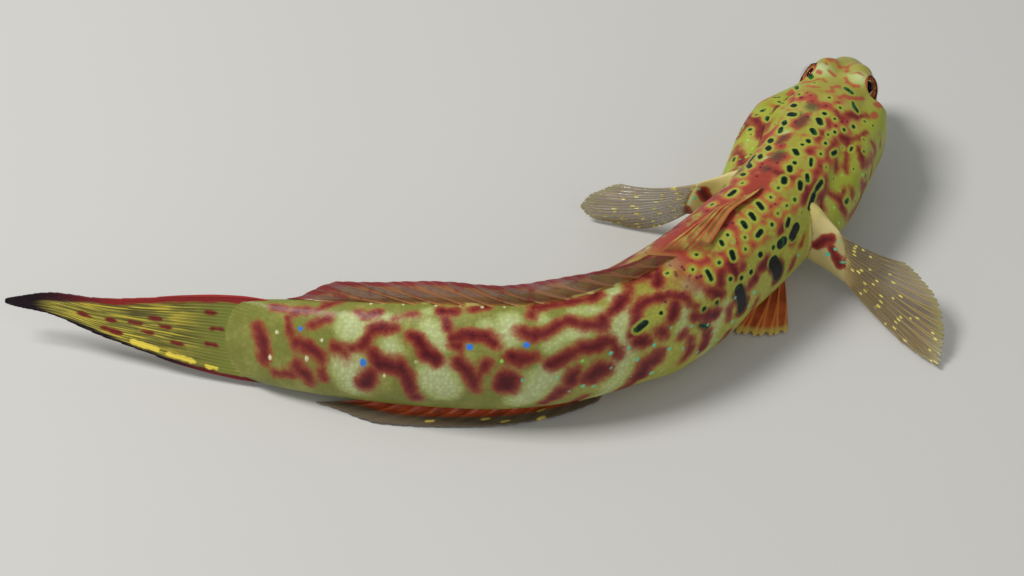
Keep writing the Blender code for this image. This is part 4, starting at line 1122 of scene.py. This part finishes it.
# The second dorsal fin, a low, see-through brown web on soft rays along the ridge of the tail stem,
# with red blotches, a red upper edge and a few golden painted highlights of wet glints at its root.
LOW_WEB, LOW_RAY, LOW_BLOTCH = (0.30, 0.12, 0.035), (0.36, 0.14, 0.045), (0.26, 0.04, 0.022)
# The last colour on the next line is the gold of the painted highlights at the fin's root
LOW_EDGE, LOW_ROOT, LOW_PAINTED_HIGHLIGHT = (0.27, 0.022, 0.02), (0.52, 0.22, 0.045), (0.80, 0.68, 0.20)
LOW_HEIGHTS = ((0, 1.5), (0.15, 2.1), (0.8, 2.3), (1, 1.9))


def low(u, v):
    far = 46.5 + 36.0 * u + (4.0 + 6.0 * u) * v
    side = 0.15 * ease(46, 54, far) + (0.25 * np.sin(18 * u) - 0.85) * v**1.4
    side = side * np.minimum(1, smooth(HALF_WIDTHS, far) / 4.6)
    rise = (smooth(LOW_HEIGHTS, u) + 0.35) * v * (1 - 0.85 * ease(0.86, 1, u))
    return far, side, smooth(RISES, far) - 0.3 + rise


piece = fin("second_dorsal", "dorsal_fin_second", 14, low, scallop=0.03)
look = fin_look("second_dorsal", LOW_WEB, LOW_RAY, 0.7)
look.lay(LOW_BLOTCH, look.noise(500), 0.54, 0.68)
look.lay(LOW_EDGE, "along", 0.78, 0.9)
look.lay(LOW_ROOT, "along", 0.24, 0.12)
# Painted highlight: golden specks near the root stand for wet glints there
painted_highlight = look.times(look.between("along", 0.26, 0.18), look.between(look.noise(260), 0.52, 0.6))
look.lay(LOW_PAINTED_HIGHLIGHT, painted_highlight)
look.finish(piece)

# The anal fin, which hangs under the tail stem and lies out to the right, orange-red by the body
# and grey-brown outside, with gold dashes on the edge.
ANAL_RED, ANAL_RAY = (0.66, 0.10, 0.03), (0.68, 0.12, 0.032)
ANAL_EDGE, ANAL_GOLD = (0.15, 0.11, 0.07), (0.80, 0.60, 0.12)
ANAL_DASHES = ((0.01, 0.68), (0.08, 0.58), (0.24, 0.57), (0.2, 0.93), (0.33, 0.85), (0.42, 0.69), (0.6, 0.8))


def laid(u, v):
    far = 55.5 + 26.5 * u + (3.0 + 3.5 * u) * v
    lean = np.radians(smooth(LEANS, far))
    keel = -smooth(DROPS, far) + 0.2
    side = (3.2 - 0.8 * np.abs(2 * u - 1) ** 3) * (1 - 0.55 * ease(0.75, 1, u)) * v
    flat = (0.3 - smooth(AXIS_HEIGHTS, far) - side * np.sin(lean)) / np.cos(lean)
    return far, side, keel + (flat - keel) * ease(0, 0.5, v)


dashes = [(0.14, (u, v), (u + 0.02, v + 0.04)) for u, v in ANAL_DASHES]
piece = fin("anal_web", "anal_fin", 14, laid, scallop=0.03, marks={"dash": dashes})
look = fin_look("anal_web", ANAL_RED, ANAL_RAY, 0.95)
look.lay(ANAL_EDGE, "along", 0.5, 0.68)
look.lay(ANAL_GOLD, "dash", 0.08, -0.05)
look.finish(piece)

# The tail fin, long and pointed. Gold rays run back through an olive web with maroon spots, from a
# maroon upper edge to a black lower edge with a yellow stripe inside it.
TAIL_HALF_HEIGHTS = (
    (93.8, 5.15), (96.5, 5.2), (100, 4.95), (104, 4.35), (108, 3.6), (112, 3.0), (118, 2.2), (122, 1.7),
    (125.5, 1.1),
)
TAIL_FIN_LENGTH = 30.0
TAIL_ROOT_SINK = 1.2  # how far inside the tail stem the rays start
OVALS = (
    (0.16, 0.11), (0.33, 0.09), (0.5, 0.09), (0.65, 0.09), (0.63, 0.22), (0.42, 0.2), (0.22, 0.25),
    (0.49, 0.39), (0.63, 0.46), (0.71, 0.36), (0.5, 0.5), (0.55, 0.69), (0.52, 0.59), (0.72, 0.64),
    (0.75, 0.62), (0.37, 0.43),
)
STRIPE = (
    (0.22, (0.92, 0.32), (0.925, 0.38)), (0.28, (0.91, 0.43), (0.9, 0.55)), (0.3, (0.88, 0.58), (0.85, 0.65)),
)
EDGE_SHARES = (0.06, 0.12, 0.2, 0.3, 0.4, 0.46)  # how far round the fin's end each edge's colour goes
UPPER_HALF_WIDTH, LOWER_HALF_WIDTH = 0.75, 0.4
TAIL_WEB, TAIL_RAY = (0.22, 0.21, 0.04), (0.29, 0.26, 0.05)
TAIL_BROWN, TAIL_GOLD = (0.10, 0.07, 0.02), (0.66, 0.52, 0.06)
OVAL_RED, UPPER_RED, UPPER_DARK = (0.20, 0.016, 0.014), (0.34, 0.024, 0.022), (0.04, 0.004, 0.010)
LOWER_RED, TAIL_BLACK, STRIPE_YELLOW = (0.15, 0.014, 0.018), (0.012, 0.003, 0.008), (0.95, 0.74, 0.09)


def tail(u, v):
    length = (TAIL_FIN_LENGTH + 1.4) * (1 - 0.62 * np.abs(2 * u - 1) ** 3)
    far = STANDARD_LENGTH - TAIL_ROOT_SINK + length * v
    swept = 0.75 * np.exp(-(((far - 119.5) / 4) ** 2))
    return far, 0.4 * np.sin(2.2 * v) * v, (1 - 2 * u) * smooth(TAIL_HALF_HEIGHTS, far) + swept


tail_marks = {"oval": [(0.3, (u, v - 0.015), (u, v + 0.02)) for u, v in OVALS], "stripe": STRIPE}
for kind, side, half_width in (("upper", 0, UPPER_HALF_WIDTH), ("lower", 1, LOWER_HALF_WIDTH)):
    round_end = [(abs(side - share), 1) for share in EDGE_SHARES]
    tail_marks[kind] = ((half_width, (side, 0), (side, 0.5), (side, 1), *round_end),)
piece = fin(
    "tail_fan", "caudal_fin", 25, tail, rows=90, scallop=0.09, thick=0.38, thin=0.26, rise=0.35,
    marks=tail_marks,
)
look = fin_look("tail_fan", TAIL_WEB, TAIL_RAY, 0.95)
for socket, value in (("Roughness", 0.5), ("Specular IOR Level", 0.2), ("Coat Weight", 0.0)):
    look.shader.inputs[socket].default_value = value
drawn_out = look.node("CombineXYZ", ((0, look.times("across", 34)), (1, look.times("along", 5)))).outputs[0]
streaks = look.noise(1, where=drawn_out)
dark = look.times(look.between("station", 98, 110), look.between(streaks, 0.46, 0.36))
look.lay(TAIL_BROWN, dark, strength=0.7)
look.lay(TAIL_GOLD, look.times(look.between("station", 99, 108), look.between(streaks, 0.5, 0.6)))
look.lay(REAR_OLIVE, "station", 105, 98)
look.lay(OVAL_RED, look.add("oval", look.waver(900, 0.5)), 0.16, -0.2)
ragged = look.waver(1.4, 1.2, drawn_out)
for kind, first, last, near, far in (
    ("upper", 110, 120, UPPER_RED, UPPER_DARK), ("lower", 99, 107, LOWER_RED, TAIL_BLACK),
):
    tint = look.mix(look.between("station", first, last), near, far)
    look.lay(tint, look.add(kind, look.times(ragged, 0.7)), 0.15, -0.15)
look.lay(TAIL_BLACK, look.add("station", look.times(ragged, 4)), 119, 121.5)
look.lay(STRIPE_YELLOW, look.add("stripe", look.waver(1300, 0.5)), 0.12, -0.1)
look.finish(piece)

# The photo's camera, a pale matt floor just under the fish, and two soft lamps under a pale sky.
# The floor stands in for the sea bed, and is not a part of the fish.
ELEVATION = np.radians(45)
VIEW_CENTRE = np.array((4.565, -4.54, 0.0))
DISTANCE = 280.0
camera = bpy.data.objects.new("camera", bpy.data.cameras.new("camera"))
bpy.context.scene.collection.objects.link(camera)
camera.data.lens = 85
camera.data.sensor_width = 36
camera.data.clip_start = 0.01
camera.location = MM * (VIEW_CENTRE + DISTANCE * np.array((0, -np.cos(ELEVATION), np.sin(ELEVATION))))
camera.rotation_euler = (np.pi / 2 - ELEVATION, 0, 0)
bpy.context.scene.camera = camera
bpy.context.scene.view_settings.view_transform = "Standard"

select()
bpy.ops.mesh.primitive_plane_add(size=6, location=(0, 0, -0.00005))
floor, _ = newest("floor")
Look("floor", {"Base Color": (0.62, 0.60, 0.56, 1), "Roughness": 0.85}).finish(floor)

world = bpy.data.worlds.new("studio")
bpy.context.scene.world = world
world.use_nodes = True
sky = world.node_tree.nodes["Background"]
sky.inputs["Color"].default_value = (0.9, 0.95, 1, 1)
sky.inputs["Strength"].default_value = 0.32
for name, spot, size, power in (
    ("key", (-0.3, 0.0, 0.45), 0.18, 2.2), ("fill", (0.35, -0.45, 0.4), 0.4, 0.5),
):
    lamp = bpy.data.lights.new(name, "AREA")
    lamp.size = size
    lamp.energy = power
    held = bpy.data.objects.new(name, lamp)
    bpy.context.scene.collection.objects.link(held)
    held.location = spot
    held.rotation_euler = (-Vector(spot)).to_track_quat("-Z", "Y").to_euler()
